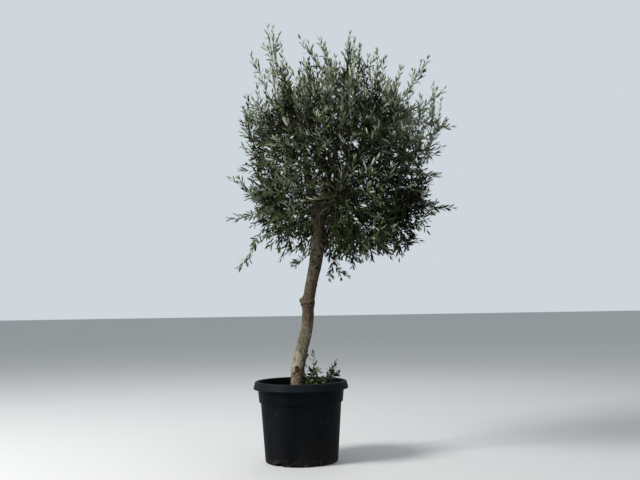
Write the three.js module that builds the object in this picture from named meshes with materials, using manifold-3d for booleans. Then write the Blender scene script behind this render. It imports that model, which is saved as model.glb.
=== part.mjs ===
// A potted olive tree: a young standard with a leaning trunk, in a plastic nursery container.
// Millimetres, +Z up. The origin is the centre of the container's flat underside.
// Seen from the front, +X points right and +Y points away.

import * as THREE from 'three';
import { mergeVertices } from 'three/addons/utils/BufferGeometryUtils.js';
import Module from 'manifold-3d';

const wasm = await Module();
wasm.setup();

// Fits and clearances
const FIT_GAP = 0.3;
const SPACE_MARGIN = 0.8;
const LIMB_MARGIN = 1.5;
const REACH_MARGIN = 6;

// Container: a tapered body, a stepped cuff above it and a broad turned lip
const POT_HEIGHT = 366;
const POT_SIDES = 36;
const WALL = 3.5;
const FLOOR = 6;
const FOOT_FLAT_RADIUS = 158;
const FOOT_RADIUS = 167;
const FOOT_ROUNDING = 10;
const BODY_TOP_RADIUS = 185;
const BODY_TOP = 268;
const CUFF_FOOT_RADIUS = 192.5;
const CUFF_FOOT = 273;
const CUFF_TOP_RADIUS = 198;
const LIP_FOOT = 331;
const LIP_FOOT_RADIUS = 218.5;
const LIP_TOP_RADIUS = 212.5;
const LIP_ROUNDING = 9;
const NOTCH_COUNT = 6;
const NOTCH_WIDTH = 30;
const NOTCH_HEIGHT = 14;
const NOTCH_DEPTH = 14;
const NOTCH_TURN = THREE.MathUtils.degToRad(-65);

// Potting soil
const SOIL_TOP = 315;

// Trunk: height, place of the centre to the right and to the back, and diameter
const TRUNK_ROWS = [
  { height: SOIL_TOP + FIT_GAP, x: -11, y: 0, diameter: 92 },
  { height: 345, x: -13, y: 0, diameter: 68 },
  { height: 414, x: -14, y: 3, diameter: 61 },
  { height: 506, x: 4, y: 5, diameter: 61 },
  { height: 574, x: 25, y: 4, diameter: 56 },
  { height: 640, x: 37, y: 0, diameter: 52.5 },
  { height: 713, x: 40, y: -3, diameter: 53.5 },
  { height: 782, x: 49, y: -4, diameter: 56 },
  { height: 875, x: 69, y: -2, diameter: 60 },
  { height: 940, x: 82, y: 2, diameter: 63 },
  { height: 1014, x: 89, y: 4, diameter: 61 },
  { height: 1107, x: 93, y: 3, diameter: 57 },
  { height: 1185, x: 101, y: 0, diameter: 60 },
];
const TRUNK_SIDES = 12;
const TRUNK_RINGS = 24;
const TRUNK_DOME = 14;
const ROOT_LOBES = 5;
const ROOT_LOBE_DEPTH = 0.16;
const ROOT_FLARE_HEIGHT = 60;

// Pruned snags on the trunk: height, bearing from +X, radius and how far they stand out
const SNAGS = [
  { height: 731, bearing: 175, radius: 8, length: 15 },
  { height: 712, bearing: 300, radius: 10, length: 5 },
  { height: 478, bearing: -5, radius: 4, length: 10 },
  { height: 384, bearing: -20, radius: 9, length: 9 },
  { height: 905, bearing: 250, radius: 10, length: 6 },
  { height: 985, bearing: 320, radius: 11, length: 7 },
  { height: 1052, bearing: 205, radius: 10, length: 9 },
];
const SNAG_SIDES = 6;

// Crown outline: a flattened round body about a leaning axis
const CROWN = { x: 187, y: 0, z: 1388, halfWidth: 425, halfDepth: 400, halfHeight: 440, fullness: 3 };

// Tiers of foliage masses round the crown's axis, each mass carried by one bough
const TIERS = [
  {
    tier: 'lower', shift: 0, height: 1172, spread: 240, size: 205, turn: 0, arch: 40, boughRadius: 13,
    sides: ['right', 'back', 'left', 'front'],
  },
  {
    tier: 'upper', shift: 0, height: 1555, spread: 240, size: 215, turn: 45, arch: -35, boughRadius: 17,
    sides: ['right_back', 'left_back', 'left_front', 'right_front'],
  },
  {
    tier: 'top', shift: 50, height: 1705, spread: 0, size: 135, turn: 0, arch: 0, boughRadius: 14,
    sides: ['centre'],
  },
];
const BOUGH_TIP_RADIUS = 8.5;
const BOUGH_SIDES = 6;
const BOUGH_RINGS = 6;
const LOWER_BOUGH_FIRST = 1078;
const LOWER_BOUGH_STEP = 22;
const FORK_HEIGHT = 1172;
const FORK_OFFSET = 10;
const BOUGH_ENTRY = 0.4;
const BOUGH_SWAY = 24;

// Twigs and leaves of the crown. Each leaf stands for a small spray.
const STEM_RADIUS = 7.5;
const STEM_TIP_RADIUS = 5;
const STEM_SIDES = 4;
const STEM_RINGS = 3;
const STEM_BARE_SHARE = 0.6;
const STEM_OUTWARD = 0.42;
const STEM_UPWARD = 0.12;
const TWIG_RADIUS = 3.6;
const TWIG_TIP_RADIUS = 2.6;
const TWIG_SIDES = 3;
const TWIG_RINGS = 1;
const SHOOT_RINGS = 4;
const TWIGS_A_MASS = 19;
const TWIG_LENGTH_MIN = 25;
const TWIG_LENGTH_MAX = 300;
const TWIG_BACKWARD_MAX = 0.45;
const TWIG_BARE_SHARE = 0.3;
const TWIG_START_MIDDLE = 0.5;
const TWIG_START_SPREAD = 0.42;
const TWIG_REACH_SHARE = 0.85;
const LEAF_FORWARD_SHARE = 0.72;
const GOLDEN_ANGLE = THREE.MathUtils.degToRad(137.5);
const LEAF = { length: 138, width: 44, thickness: 3.2, pairGap: 92 };
const SHOOT_LEAF = { length: 105, width: 26, thickness: 2.4, pairGap: 105 };
const SMALL_LEAF = { length: 56, width: 14, thickness: 1.8, pairGap: 34 };
const LEAF_LEAN = THREE.MathUtils.degToRad(42);
const LEAF_LEAN_CHANCE = 0.3;
const LEAF_TURN_CHANCE = 0.8;
const LEAF_TEST_POINTS = 5;
const TWIG_TEST_POINTS = 6;
const LIMB_TEST_LENGTHS = 16;
const REACH_STEP = 10;
const LEAF_SUNK = 1.2;
const LEAF_SCALES = [1, 0.8, 0.6, 0.45];

// Long shoots that stand out of the crown, by the place of their tips
const LONG_SHOOTS = [
  { tip: [-154, -40, 2035] },
  { tip: [-228, 40, 1902] },
  { tip: [5, -90, 1932] },
  { tip: [100, 60, 1978] },
  { tip: [252, -60, 1968] },
  { tip: [395, 70, 1905] },
  { tip: [629, -20, 1846] },
  { tip: [722, 40, 1722] },
  { tip: [742, -30, 1514] },
  { tip: [744, -10, 1155] },
  { tip: [455, -110, 905] },
  { tip: [-284, -60, 882] },
  { tip: [-338, -30, 1114] },
  { tip: [-336, 50, 1325] },
  { tip: [-272, -60, 1545] },
  { tip: [-262, 30, 1690] },
  { tip: [150, -440, 1700] },
  { tip: [300, 445, 1620] },
];
const SHOOT_START = 0.55;
const SHOOT_BARE_SHARE = 0.5;

// Small leafy growth away from the crown: on the trunk and from the roots
const SPRIGS = [
  {
    name: 'sprig_right', from: 'trunk', height: 962, bearing: -20, size: 100,
    centre: [168, -30, 880], head: [182, -40, 862], facing: [0.8, -0.2, -0.6], twigs: 7,
  },
  {
    name: 'sprig_left', from: 'trunk', height: 948, bearing: 200, size: 88,
    centre: [20, -26, 918], head: [6, -30, 916], facing: [-0.9, -0.4, 0], twigs: 5,
  },
  {
    name: 'basal_shoot_inner', from: 'soil', foot: [52, -18], size: 100,
    centre: [60, -16, 396], head: [62, -20, 432], facing: [0, 0, 1], twigs: 9,
  },
  {
    name: 'basal_shoot_outer', from: 'soil', foot: [112, -22], size: 88,
    centre: [124, -20, 380], head: [140, -24, 402], facing: [0, 0, 1], twigs: 8,
  },
];
const SPRIG_STEM_RADIUS = 4.2;
const SPRIG_TIP_RADIUS = 3;
const SPRIG_TWIG_MIN = 10;
const SPRIG_SUNK = 5;

// Colours and surfaces
const CONTAINER_LOOK = { color: 0x1b2024, roughness: 0.6, metalness: 0 };
const SOIL_LOOK = { color: 0x1d1712, roughness: 0.95, metalness: 0 };
const BARK_LOOK = { color: 0x7b7460, roughness: 0.9, metalness: 0 };
const BOUGH_LOOK = { color: 0x6d6858, roughness: 0.9, metalness: 0 };
const LEAF_LOOK = { color: 0x47513a, roughness: 0.6, metalness: 0 };
const TIP_LEAF_LOOK = { color: 0x66704f, roughness: 0.6, metalness: 0 };

const UP = new THREE.Vector3(0, 0, 1);
const RIGHT = new THREE.Vector3(1, 0, 0);

// A repeatable stream of numbers from 0 to 1
function seededRandom(seed) {
  let state = seed >>> 0;
  return () => {
    state = (state + 0x6d2b79f5) >>> 0;
    let mixed = Math.imul(state ^ (state >>> 15), state | 1);
    mixed = (mixed + Math.imul(mixed ^ (mixed >>> 7), mixed | 61)) ^ mixed;
    return ((mixed ^ (mixed >>> 14)) >>> 0) / 4294967296;
  };
}

// Turns a closed geometry into a solid, with shared corners merged and faces pointing out
function toSolid(geometry) {
  const bare = new THREE.BufferGeometry();
  bare.setAttribute('position', geometry.attributes.position.clone());
  if (geometry.index) {
    bare.setIndex(geometry.index.clone());
  }
  const merged = mergeVertices(bare);
  const corners = merged.index.array;
  const position = merged.attributes.position.array;
  const faces = [];
  let volume = 0;
  const a = new THREE.Vector3();
  const b = new THREE.Vector3();
  const c = new THREE.Vector3();
  for (let i = 0; i < corners.length; i += 3) {
    const [p, q, r] = [corners[i], corners[i + 1], corners[i + 2]];
    if (p !== q && q !== r && r !== p) {
      faces.push([p, q, r]);
      a.fromArray(position, 3 * p);
      b.fromArray(position, 3 * q);
      c.fromArray(position, 3 * r);
      volume += a.dot(b.cross(c));
    }
  }
  if (volume < 0) {
    faces.forEach((face) => face.reverse());
  }
  const vertProperties = new Float32Array(position);
  const triVerts = new Uint32Array(faces.flat());
  return new wasm.Manifold(new wasm.Mesh({ numProp: 3, vertProperties, triVerts }));
}

// The biggest connected body of a solid, without loose scraps
function largestBody(solid) {
  const bodies = solid.decompose();
  return bodies.reduce((best, body) => (body.volume() > best.volume() ? body : best));
}

function toGeometry(solid) {
  const mesh = solid.getMesh();
  const geometry = new THREE.BufferGeometry();
  geometry.setAttribute('position', new THREE.BufferAttribute(mesh.vertProperties, 3));
  geometry.setIndex(new THREE.BufferAttribute(mesh.triVerts, 1));
  geometry.computeVertexNormals();
  return geometry;
}

function namedMesh(name, solid, look) {
  const mesh = new THREE.Mesh(toGeometry(solid), new THREE.MeshStandardMaterial(look));
  mesh.name = name;
  return mesh;
}

// Turns a profile of radius and height into a round solid about the Z axis
function revolve(path, sides, curveSteps) {
  const geometry = new THREE.LatheGeometry(path.getPoints(curveSteps), sides);
  geometry.rotateX(Math.PI / 2);
  return toSolid(geometry);
}

// The container's inner wall from the lip down to the floor, drawn a clearance further in
function drawInnerWall(path, top, clearance) {
  const cuffSlope = (CUFF_TOP_RADIUS - CUFF_FOOT_RADIUS) / (LIP_FOOT - CUFF_FOOT);
  const cuffInside = CUFF_TOP_RADIUS - WALL - (LIP_FOOT - top) * cuffSlope;
  path.lineTo(cuffInside - clearance, top);
  path.lineTo(CUFF_FOOT_RADIUS - WALL - clearance, CUFF_FOOT + WALL);
  path.lineTo(BODY_TOP_RADIUS - WALL - clearance, BODY_TOP + 1);
  path.lineTo(FOOT_RADIUS - WALL - clearance, FLOOR + FOOT_ROUNDING);
  const cornerRadius = FOOT_RADIUS - WALL - clearance;
  const floorRadius = FOOT_FLAT_RADIUS - WALL - clearance;
  path.quadraticCurveTo(cornerRadius, FLOOR + clearance, floorRadius, FLOOR + clearance);
  path.lineTo(0, FLOOR + clearance);
}

function makePot() {
  const profile = new THREE.Path();
  profile.moveTo(0, 0);
  profile.lineTo(FOOT_FLAT_RADIUS, 0);
  profile.quadraticCurveTo(FOOT_RADIUS, 0, FOOT_RADIUS, FOOT_ROUNDING);
  profile.lineTo(BODY_TOP_RADIUS, BODY_TOP);
  profile.lineTo(CUFF_FOOT_RADIUS, CUFF_FOOT);
  profile.lineTo(CUFF_TOP_RADIUS, LIP_FOOT - 2);
  profile.lineTo(LIP_FOOT_RADIUS - 3, LIP_FOOT);
  profile.lineTo(LIP_FOOT_RADIUS, LIP_FOOT + 4);
  profile.lineTo(LIP_TOP_RADIUS, POT_HEIGHT - LIP_ROUNDING);
  profile.quadraticCurveTo(LIP_TOP_RADIUS - 2, POT_HEIGHT, LIP_TOP_RADIUS - LIP_ROUNDING, POT_HEIGHT);
  profile.quadraticCurveTo(CUFF_TOP_RADIUS, POT_HEIGHT, CUFF_TOP_RADIUS - 1, POT_HEIGHT - LIP_ROUNDING);
  drawInnerWall(profile, LIP_FOOT, 0);
  let pot = revolve(profile, POT_SIDES, 3);
  for (let i = 0; i < NOTCH_COUNT; i += 1) {
    const notch = new THREE.BoxGeometry(2 * NOTCH_DEPTH, NOTCH_WIDTH, 2 * NOTCH_HEIGHT);
    notch.translate(FOOT_RADIUS, 0, 0);
    notch.rotateZ(NOTCH_TURN + (i * 2 * Math.PI) / NOTCH_COUNT);
    pot = pot.subtract(toSolid(notch));
  }
  return pot;
}

function makeSoil() {
  const profile = new THREE.Path();
  profile.moveTo(0, SOIL_TOP);
  drawInnerWall(profile, SOIL_TOP, FIT_GAP + 0.1);
  return revolve(profile, POT_SIDES, 3);
}

// Trunk centre line and girth share one parameter, so both are read at the same height
const trunkLine = new THREE.CatmullRomCurve3(
  TRUNK_ROWS.map((row) => new THREE.Vector3(row.x, row.y, row.height)), false, 'catmullrom', 0.5);
const trunkGirth = new THREE.CatmullRomCurve3(
  TRUNK_ROWS.map((row) => new THREE.Vector3(row.diameter / 2, 0, row.height)), false, 'catmullrom', 0.5);

// The curve parameter at a height, by halving the range
function trunkParameter(height) {
  let low = 0;
  let high = 1;
  for (let i = 0; i < 30; i += 1) {
    const middle = (low + high) / 2;
    if (trunkLine.getPoint(middle).z < height) {
      low = middle;
    } else {
      high = middle;
    }
  }
  return (low + high) / 2;
}

function trunkCentre(height) {
  return trunkLine.getPoint(trunkParameter(height));
}

function trunkRadius(height) {
  return trunkGirth.getPoint(trunkParameter(height)).x;
}

function rootLobe(height, angle) {
  const flare = THREE.MathUtils.clamp(1 - (height - SOIL_TOP) / ROOT_FLARE_HEIGHT, 0, 1);
  return 1 + ROOT_LOBE_DEPTH * flare * flare * Math.cos(ROOT_LOBES * angle);
}

// The trunk as level rings, from the flat cut on the soil up to a low dome in the fork
function makeTrunk(swell) {
  const shaft = new THREE.CylinderGeometry(1, 1, 1, TRUNK_SIDES, TRUNK_RINGS);
  shaft.rotateX(Math.PI / 2);
  const position = shaft.attributes.position;
  const corner = new THREE.Vector3();
  for (let i = 0; i < position.count; i += 1) {
    corner.fromBufferAttribute(position, i);
    const along = corner.z + 0.5;
    const centre = trunkLine.getPoint(along);
    const angle = Math.atan2(corner.y, corner.x);
    const atTop = along > 0.999;
    const spread = Math.hypot(corner.x, corner.y);
    const close = atTop ? 0.75 : 1;
    const radius = trunkGirth.getPoint(along).x * rootLobe(centre.z, angle) * close + swell;
    const height = centre.z + (atTop ? TRUNK_DOME * (1 - 0.4 * spread) : 0);
    position.setXYZ(i, centre.x + corner.x * radius, centre.y + corner.y * radius, height);
  }
  let trunk = toSolid(shaft);
  for (const snag of SNAGS) {
    trunk = trunk.add(makeSnag(snag, swell));
  }
  return trunk;
}

// A pruned snag that stands out of the trunk's side, a little upward
function makeSnag(snag, swell) {
  const from = trunkCentre(snag.height);
  const along = outward(THREE.MathUtils.degToRad(snag.bearing));
  const to = from.clone().addScaledVector(along, trunkRadius(snag.height) + snag.length + swell);
  to.z += 0.6 * snag.radius;
  const stub = {
    curve: new THREE.LineCurve3(from, to),
    root: 1.4 * snag.radius,
    tip: 0.8 * snag.radius,
    rings: 1,
  };
  return makeLimb(stub, SNAG_SIDES, swell);
}

// Two directions square to a limb at a point on it, steady all the way along it
function crossDirections(tangent, reference) {
  const side = new THREE.Vector3().crossVectors(tangent, reference).normalize();
  const other = new THREE.Vector3().crossVectors(side, tangent);
  return { side, other };
}

function referenceFor(curve) {
  const chord = curve.getPoint(1).sub(curve.getPoint(0)).normalize();
  return Math.abs(chord.z) > 0.8 ? RIGHT : UP;
}

// A tapering limb along a curve, from one radius to another, with flat ends
function makeLimb(limb, sides, swell) {
  const tube = new THREE.CylinderGeometry(1, 1, 1, sides, limb.rings);
  const position = tube.attributes.position;
  const reference = referenceFor(limb.curve);
  const corner = new THREE.Vector3();
  for (let i = 0; i < position.count; i += 1) {
    corner.fromBufferAttribute(position, i);
    const along = corner.y + 0.5;
    const point = limb.curve.getPoint(along);
    const { side, other } = crossDirections(limb.curve.getTangent(along), reference);
    const radius = limbRadius(limb, along) + swell;
    point.addScaledVector(side, corner.x * radius).addScaledVector(other, corner.z * radius);
    position.setXYZ(i, point.x, point.y, point.z);
  }
  return toSolid(tube);
}

function limbRadius(limb, along) {
  return THREE.MathUtils.lerp(limb.root, limb.tip, along);
}

// A point on the axis of a limb as it is built, in straight lengths between its rings
function axisPoint(limb, along) {
  const length = Math.min(Math.floor(along * limb.rings), limb.rings - 1);
  const from = limb.curve.getPoint(length / limb.rings);
  const to = limb.curve.getPoint((length + 1) / limb.rings);
  return from.lerp(to, along * limb.rings - length);
}

// The direction that points out from the crown's axis at a bearing
function outward(bearing) {
  return new THREE.Vector3(Math.cos(bearing), Math.sin(bearing), 0);
}

// Lists the crown's masses, tier by tier
function listCrownMasses() {
  const masses = [];
  for (const tier of TIERS) {
    tier.sides.forEach((sideName, index) => {
      const bearing = THREE.MathUtils.degToRad(tier.turn) + (index * 2 * Math.PI) / tier.sides.length;
      const centre = new THREE.Vector3(CROWN.x + tier.shift, CROWN.y, tier.height);
      centre.addScaledVector(outward(bearing), tier.spread);
      masses.push({
        name: `foliage_${tier.tier}_${sideName}`,
        bough: `bough_${tier.tier}_${sideName}`,
        tier, index, centre,
        size: tier.size,
        seed: 1000 + 37 * masses.length,
        twigs: TWIGS_A_MASS,
        shortest: TWIG_LENGTH_MIN,
        leaf: LEAF,
        facing: tier.spread > 0 ? outward(bearing) : UP,
        inCrown: true,
      });
    });
  }
  return masses;
}

// The bough that carries a mass, from the trunk to where it enters the mass
function boughFor(mass) {
  const start = boughStart(mass);
  const heading = mass.centre.clone().sub(start).normalize();
  const tip = mass.centre.clone().addScaledVector(heading, -BOUGH_ENTRY * mass.size);
  const middle = start.clone().lerp(tip, 0.5);
  middle.z += mass.tier.arch;
  middle.addScaledVector(mass.facing, -mass.tier.arch);
  middle.addScaledVector(outward(mass.seed * GOLDEN_ANGLE), BOUGH_SWAY);
  return {
    name: mass.bough,
    curve: new THREE.QuadraticBezierCurve3(start, middle, tip),
    root: mass.tier.boughRadius,
    tip: BOUGH_TIP_RADIUS,
    rings: BOUGH_RINGS,
  };
}

// Lower boughs leave the trunk one above the other, and the others leave its fork
function boughStart(mass) {
  if (mass.tier.tier === 'lower') {
    return trunkCentre(LOWER_BOUGH_FIRST + LOWER_BOUGH_STEP * mass.index);
  }
  const offset = mass.tier.spread > 0 ? FORK_OFFSET : 0;
  return trunkCentre(FORK_HEIGHT).addScaledVector(mass.facing, offset);
}

// The stem of a crown mass carries on from its bough and bends up and outward
function crownStem(mass, bough) {
  const heading = bough.curve.getTangent(1);
  const foot = bough.curve.getPoint(1).addScaledVector(heading, FIT_GAP);
  const head = mass.centre.clone().addScaledVector(mass.facing, STEM_OUTWARD * mass.size);
  head.z += STEM_UPWARD * mass.size;
  const bend = foot.clone().addScaledVector(heading, 0.5 * foot.distanceTo(head));
  return {
    curve: new THREE.QuadraticBezierCurve3(foot, bend, head),
    root: STEM_RADIUS,
    tip: STEM_TIP_RADIUS,
    rings: STEM_RINGS,
  };
}

// The stem of a small mass starts in the trunk's side, where the bark cuts it clear, or on the soil
function sprigStem(sprig) {
  let foot;
  if (sprig.from === 'trunk') {
    const bearing = THREE.MathUtils.degToRad(sprig.bearing);
    foot = trunkCentre(sprig.height);
    foot.addScaledVector(outward(bearing), trunkRadius(sprig.height) - SPRIG_SUNK);
  } else {
    foot = new THREE.Vector3(sprig.foot[0], sprig.foot[1], SOIL_TOP + FIT_GAP);
  }
  const head = new THREE.Vector3(...sprig.head);
  const bend = foot.clone().lerp(head, 0.5);
  if (sprig.from === 'trunk') {
    bend.z = foot.z - 4;
  } else {
    bend.setX(foot.x).setY(foot.y);
  }
  return {
    curve: new THREE.QuadraticBezierCurve3(foot, bend, head),
    root: SPRIG_STEM_RADIUS,
    tip: SPRIG_TIP_RADIUS,
    rings: STEM_RINGS,
  };
}

function listSprigs() {
  return SPRIGS.map((sprig, index) => ({
    ...sprig,
    centre: new THREE.Vector3(...sprig.centre),
    seed: 5000 + 61 * index,
    shortest: SPRIG_TWIG_MIN,
    leaf: SMALL_LEAF,
    facing: new THREE.Vector3(...sprig.facing),
    inCrown: false,
  }));
}

const crownMasses = listCrownMasses();
const boughs = crownMasses.map(boughFor);
const sprigs = listSprigs();
const allMasses = [...crownMasses, ...sprigs];

// How far a point lies inside a mass's own space. Flat walls part the crown's masses from each other,
// and each small mass keeps to a ball that the crown's masses stay out of.
function roomAt(mass, point) {
  let room = mass.inCrown ? Infinity : mass.size - point.distanceTo(mass.centre);
  for (const other of allMasses.filter((candidate) => candidate !== mass)) {
    if (other.inCrown === mass.inCrown) {
      room = Math.min(room, roomToWall(mass, other, point));
    } else if (mass.inCrown) {
      room = Math.min(room, point.distanceTo(other.centre) - other.size);
    }
  }
  return room;
}

// The distance from a point to the flat wall between two masses, which leaves a bigger mass more space
function roomToWall(mass, other, point) {
  const own = point.distanceToSquared(mass.centre) - mass.size * mass.size;
  const theirs = point.distanceToSquared(other.centre) - other.size * other.size;
  return (theirs - own) / (2 * other.centre.distanceTo(mass.centre));
}

// The crown's outline: below 1 inside it
function crownReach(point) {
  const across = Math.hypot((point.x - CROWN.x) / CROWN.halfWidth, (point.y - CROWN.y) / CROWN.halfDepth);
  const upright = Math.abs(point.z - CROWN.z) / CROWN.halfHeight;
  return across ** CROWN.fullness + upright ** CROWN.fullness;
}

function inOutline(mass, point) {
  return !mass.inCrown || crownReach(point) < 1;
}

// Limbs as short straight lengths, for keeping leaves and twigs clear of them
function limbLengths() {
  const lengths = [];
  const trunkLimb = { curve: trunkLine, radiusAt: (along) => trunkGirth.getPoint(along).x };
  const others = boughs.map((bough) => ({
    curve: bough.curve,
    radiusAt: (along) => limbRadius(bough, along),
  }));
  for (const limb of [trunkLimb, ...others]) {
    for (let i = 0; i < LIMB_TEST_LENGTHS; i += 1) {
      const from = limb.curve.getPoint(i / LIMB_TEST_LENGTHS);
      const to = limb.curve.getPoint((i + 1) / LIMB_TEST_LENGTHS);
      lengths.push({ line: new THREE.Line3(from, to), radius: limb.radiusAt(i / LIMB_TEST_LENGTHS) });
    }
  }
  return lengths;
}

const limbs = limbLengths();

function clearOfLimbs(point, halfWidth) {
  const nearest = new THREE.Vector3();
  return limbs.every((limb) => {
    limb.line.closestPointToPoint(point, true, nearest);
    return nearest.distanceTo(point) > limb.radius + halfWidth + LIMB_MARGIN;
  });
}

function aboveSoil(mass, point) {
  return mass.inCrown || point.z > SOIL_TOP + 2;
}

// How far a straight twig can run from a point before it leaves its mass's space or the outline
function reachAlong(mass, start, direction) {
  const point = start.clone();
  let reach = 0;
  while (reach < TWIG_LENGTH_MAX + mass.leaf.length) {
    point.addScaledVector(direction, REACH_STEP);
    if (roomAt(mass, point) < REACH_MARGIN || !inOutline(mass, point)) {
      break;
    }
    reach += REACH_STEP;
  }
  return reach;
}

// A direction leaning away from a tangent, at an angle round it
function leanFrom(tangent, around, lean) {
  const reference = Math.abs(tangent.z) > 0.8 ? RIGHT : UP;
  const { side, other } = crossDirections(tangent, reference);
  return tangent.clone().multiplyScalar(Math.cos(lean))
    .addScaledVector(side, Math.sin(lean) * Math.cos(around))
    .addScaledVector(other, Math.sin(lean) * Math.sin(around));
}

// The leaf's corners: its two ends, its two edges and its two faces
function leafCorners(leaf) {
  const tip = leaf.root.clone().addScaledVector(leaf.direction, leaf.length);
  const middle = leaf.root.clone().addScaledVector(leaf.direction, leaf.length / 2);
  return [
    leaf.root, tip,
    middle.clone().addScaledVector(leaf.side, leaf.width / 2),
    middle.clone().addScaledVector(leaf.side, -leaf.width / 2),
  ];
}

function leafFits(mass, leaf) {
  const inside = leafCorners(leaf).every((corner) => roomAt(mass, corner) > SPACE_MARGIN + leaf.thickness
    && aboveSoil(mass, corner));
  if (!inside) {
    return false;
  }
  for (let i = 1; i <= LEAF_TEST_POINTS; i += 1) {
    const along = i / LEAF_TEST_POINTS;
    const point = leaf.root.clone().addScaledVector(leaf.direction, leaf.length * along);
    const halfWidth = (leaf.width / 2) * (1 - Math.abs(2 * along - 1));
    if (roomAt(mass, point) < SPACE_MARGIN || !clearOfLimbs(point, halfWidth)) {
      return false;
    }
  }
  return true;
}

// Tries a leaf at full size and then smaller, and gives null where none fits
function fitLeaf(mass, size, at, direction, around) {
  for (const scale of LEAF_SCALES) {
    const { side } = crossDirections(direction, Math.abs(direction.z) > 0.8 ? RIGHT : UP);
    side.applyAxisAngle(direction, around);
    const leaf = {
      root: at.clone().addScaledVector(direction, -LEAF_SUNK),
      direction, side,
      length: size.length * scale + LEAF_SUNK,
      width: size.width * scale,
      thickness: size.thickness,
    };
    if (leafFits(mass, leaf)) {
      return leaf;
    }
  }
  return null;
}

// Opposite pairs of leaves along a twig, each pair turned a quarter from the last, and one at its end
function leavesOn(mass, twig, size, bareShare, random) {
  const leaves = [];
  const length = twig.curve.getPoint(0).distanceTo(twig.curve.getPoint(1));
  const pairs = Math.max(1, Math.round((length * (1 - bareShare)) / size.pairGap));
  for (let pair = 0; pair < pairs; pair += 1) {
    const along = bareShare + ((1 - bareShare) * (pair + 0.5)) / pairs;
    const point = axisPoint(twig, along);
    const tangent = twig.curve.getTangent(along);
    const turn = pair * (Math.PI / 2) + random() * LEAF_TURN_CHANCE;
    for (const half of [0, Math.PI]) {
      const direction = leanFrom(tangent, turn + half, LEAF_LEAN + (random() - 0.5) * LEAF_LEAN_CHANCE);
      leaves.push(fitLeaf(mass, size, point, direction, random() * Math.PI));
    }
  }
  leaves.push(fitLeaf(mass, size, twig.curve.getPoint(1), twig.curve.getTangent(1), random() * Math.PI));
  return leaves.filter((leaf) => leaf !== null);
}

function twigFits(mass, twig) {
  for (let i = 0; i <= TWIG_TEST_POINTS; i += 1) {
    const point = twig.curve.getPoint(i / TWIG_TEST_POINTS);
    const clear = i < 2 || clearOfLimbs(point, twig.root);
    if (roomAt(mass, point) < SPACE_MARGIN + twig.root || !clear || !aboveSoil(mass, point)) {
      return false;
    }
  }
  return true;
}

// Even directions round a ball, dealt out by the golden angle
function ballDirection(index, count, turn) {
  const rise = 1 - (2 * (index + 0.5)) / count;
  const flat = Math.sqrt(1 - rise * rise);
  const angle = index * GOLDEN_ANGLE + turn;
  return new THREE.Vector3(flat * Math.cos(angle), flat * Math.sin(angle), rise);
}

// A side twig from the stem, as long as its mass's space allows, or null where there is no room
function growTwig(mass, stem, direction, random) {
  const stemLine = stem.curve.getPoint(1).sub(stem.curve.getPoint(0)).normalize();
  const along = TWIG_START_MIDDLE + TWIG_START_SPREAD * direction.dot(stemLine);
  const start = axisPoint(stem, along);
  const share = THREE.MathUtils.lerp(TWIG_REACH_SHARE, 1, random());
  const leafReach = LEAF_FORWARD_SHARE * mass.leaf.length;
  const length = Math.min(TWIG_LENGTH_MAX, reachAlong(mass, start, direction) * share - leafReach);
  if (length < mass.shortest) {
    return null;
  }
  const end = start.clone().addScaledVector(direction, length);
  const slimness = stem.root / STEM_RADIUS;
  const twig = {
    curve: new THREE.LineCurve3(start, end),
    root: TWIG_RADIUS * slimness,
    tip: TWIG_TIP_RADIUS * slimness,
    rings: TWIG_RINGS,
  };
  return twigFits(mass, twig) ? twig : null;
}

// A long shoot from the stem that sweeps out and then up, or out and then down, to its tip
function growShoot(stem, shoot) {
  const start = axisPoint(stem, SHOOT_START);
  const end = new THREE.Vector3(...shoot.tip);
  end.addScaledVector(end.clone().sub(start).normalize(), -SHOOT_LEAF.length);
  const bend = start.clone().lerp(end, 0.7);
  bend.z = THREE.MathUtils.lerp(start.z, end.z, 0.3);
  return {
    curve: new THREE.QuadraticBezierCurve3(start, bend, end),
    root: TWIG_RADIUS,
    tip: TWIG_TIP_RADIUS,
    rings: SHOOT_RINGS,
  };
}

// Grows a mass: one stem, side twigs spread evenly round it, long shoots, and leaves on them all
function growMass(mass, stem) {
  const random = seededRandom(mass.seed);
  const twigs = [];
  const leaves = [];
  const turn = 2 * Math.PI * random();
  for (let i = 0; i < mass.twigs; i += 1) {
    const direction = ballDirection(i, mass.twigs, turn);
    const forward = direction.dot(mass.facing) > -TWIG_BACKWARD_MAX;
    const twig = forward ? growTwig(mass, stem, direction, random) : null;
    if (twig) {
      twigs.push(twig);
      leaves.push(...leavesOn(mass, twig, mass.leaf, TWIG_BARE_SHARE, random));
    }
  }
  leaves.push(...leavesOn(mass, stem, mass.leaf, STEM_BARE_SHARE, random));
  for (const shoot of shootsOf(mass)) {
    const twig = growShoot(stem, shoot);
    twigs.push(twig);
    leaves.push(...leavesOn(mass, twig, SHOOT_LEAF, SHOOT_BARE_SHARE, random));
  }
  return { twigs, leaves };
}

// A long shoot belongs to the mass whose space its tip lies in
function shootsOf(mass) {
  return LONG_SHOOTS.filter((shoot) => mass.inCrown && roomAt(mass, new THREE.Vector3(...shoot.tip)) > 0);
}

function makeLeaf(leaf) {
  const shape = new THREE.OctahedronGeometry(1, 0);
  shape.scale(leaf.length / 2, leaf.width / 2, leaf.thickness / 2);
  shape.translate(leaf.length / 2, 0, 0);
  const face = new THREE.Vector3().crossVectors(leaf.direction, leaf.side);
  shape.applyMatrix4(new THREE.Matrix4().makeBasis(leaf.direction, leaf.side, face).setPosition(leaf.root));
  return toSolid(shape);
}

function makeMass(mass, stem) {
  const { twigs, leaves } = growMass(mass, stem);
  let solid = makeLimb(stem, STEM_SIDES, 0);
  for (const twig of twigs) {
    solid = solid.add(makeLimb(twig, TWIG_SIDES, 0));
  }
  for (const leaf of leaves) {
    solid = solid.add(makeLeaf(leaf));
  }
  return solid;
}

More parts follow.
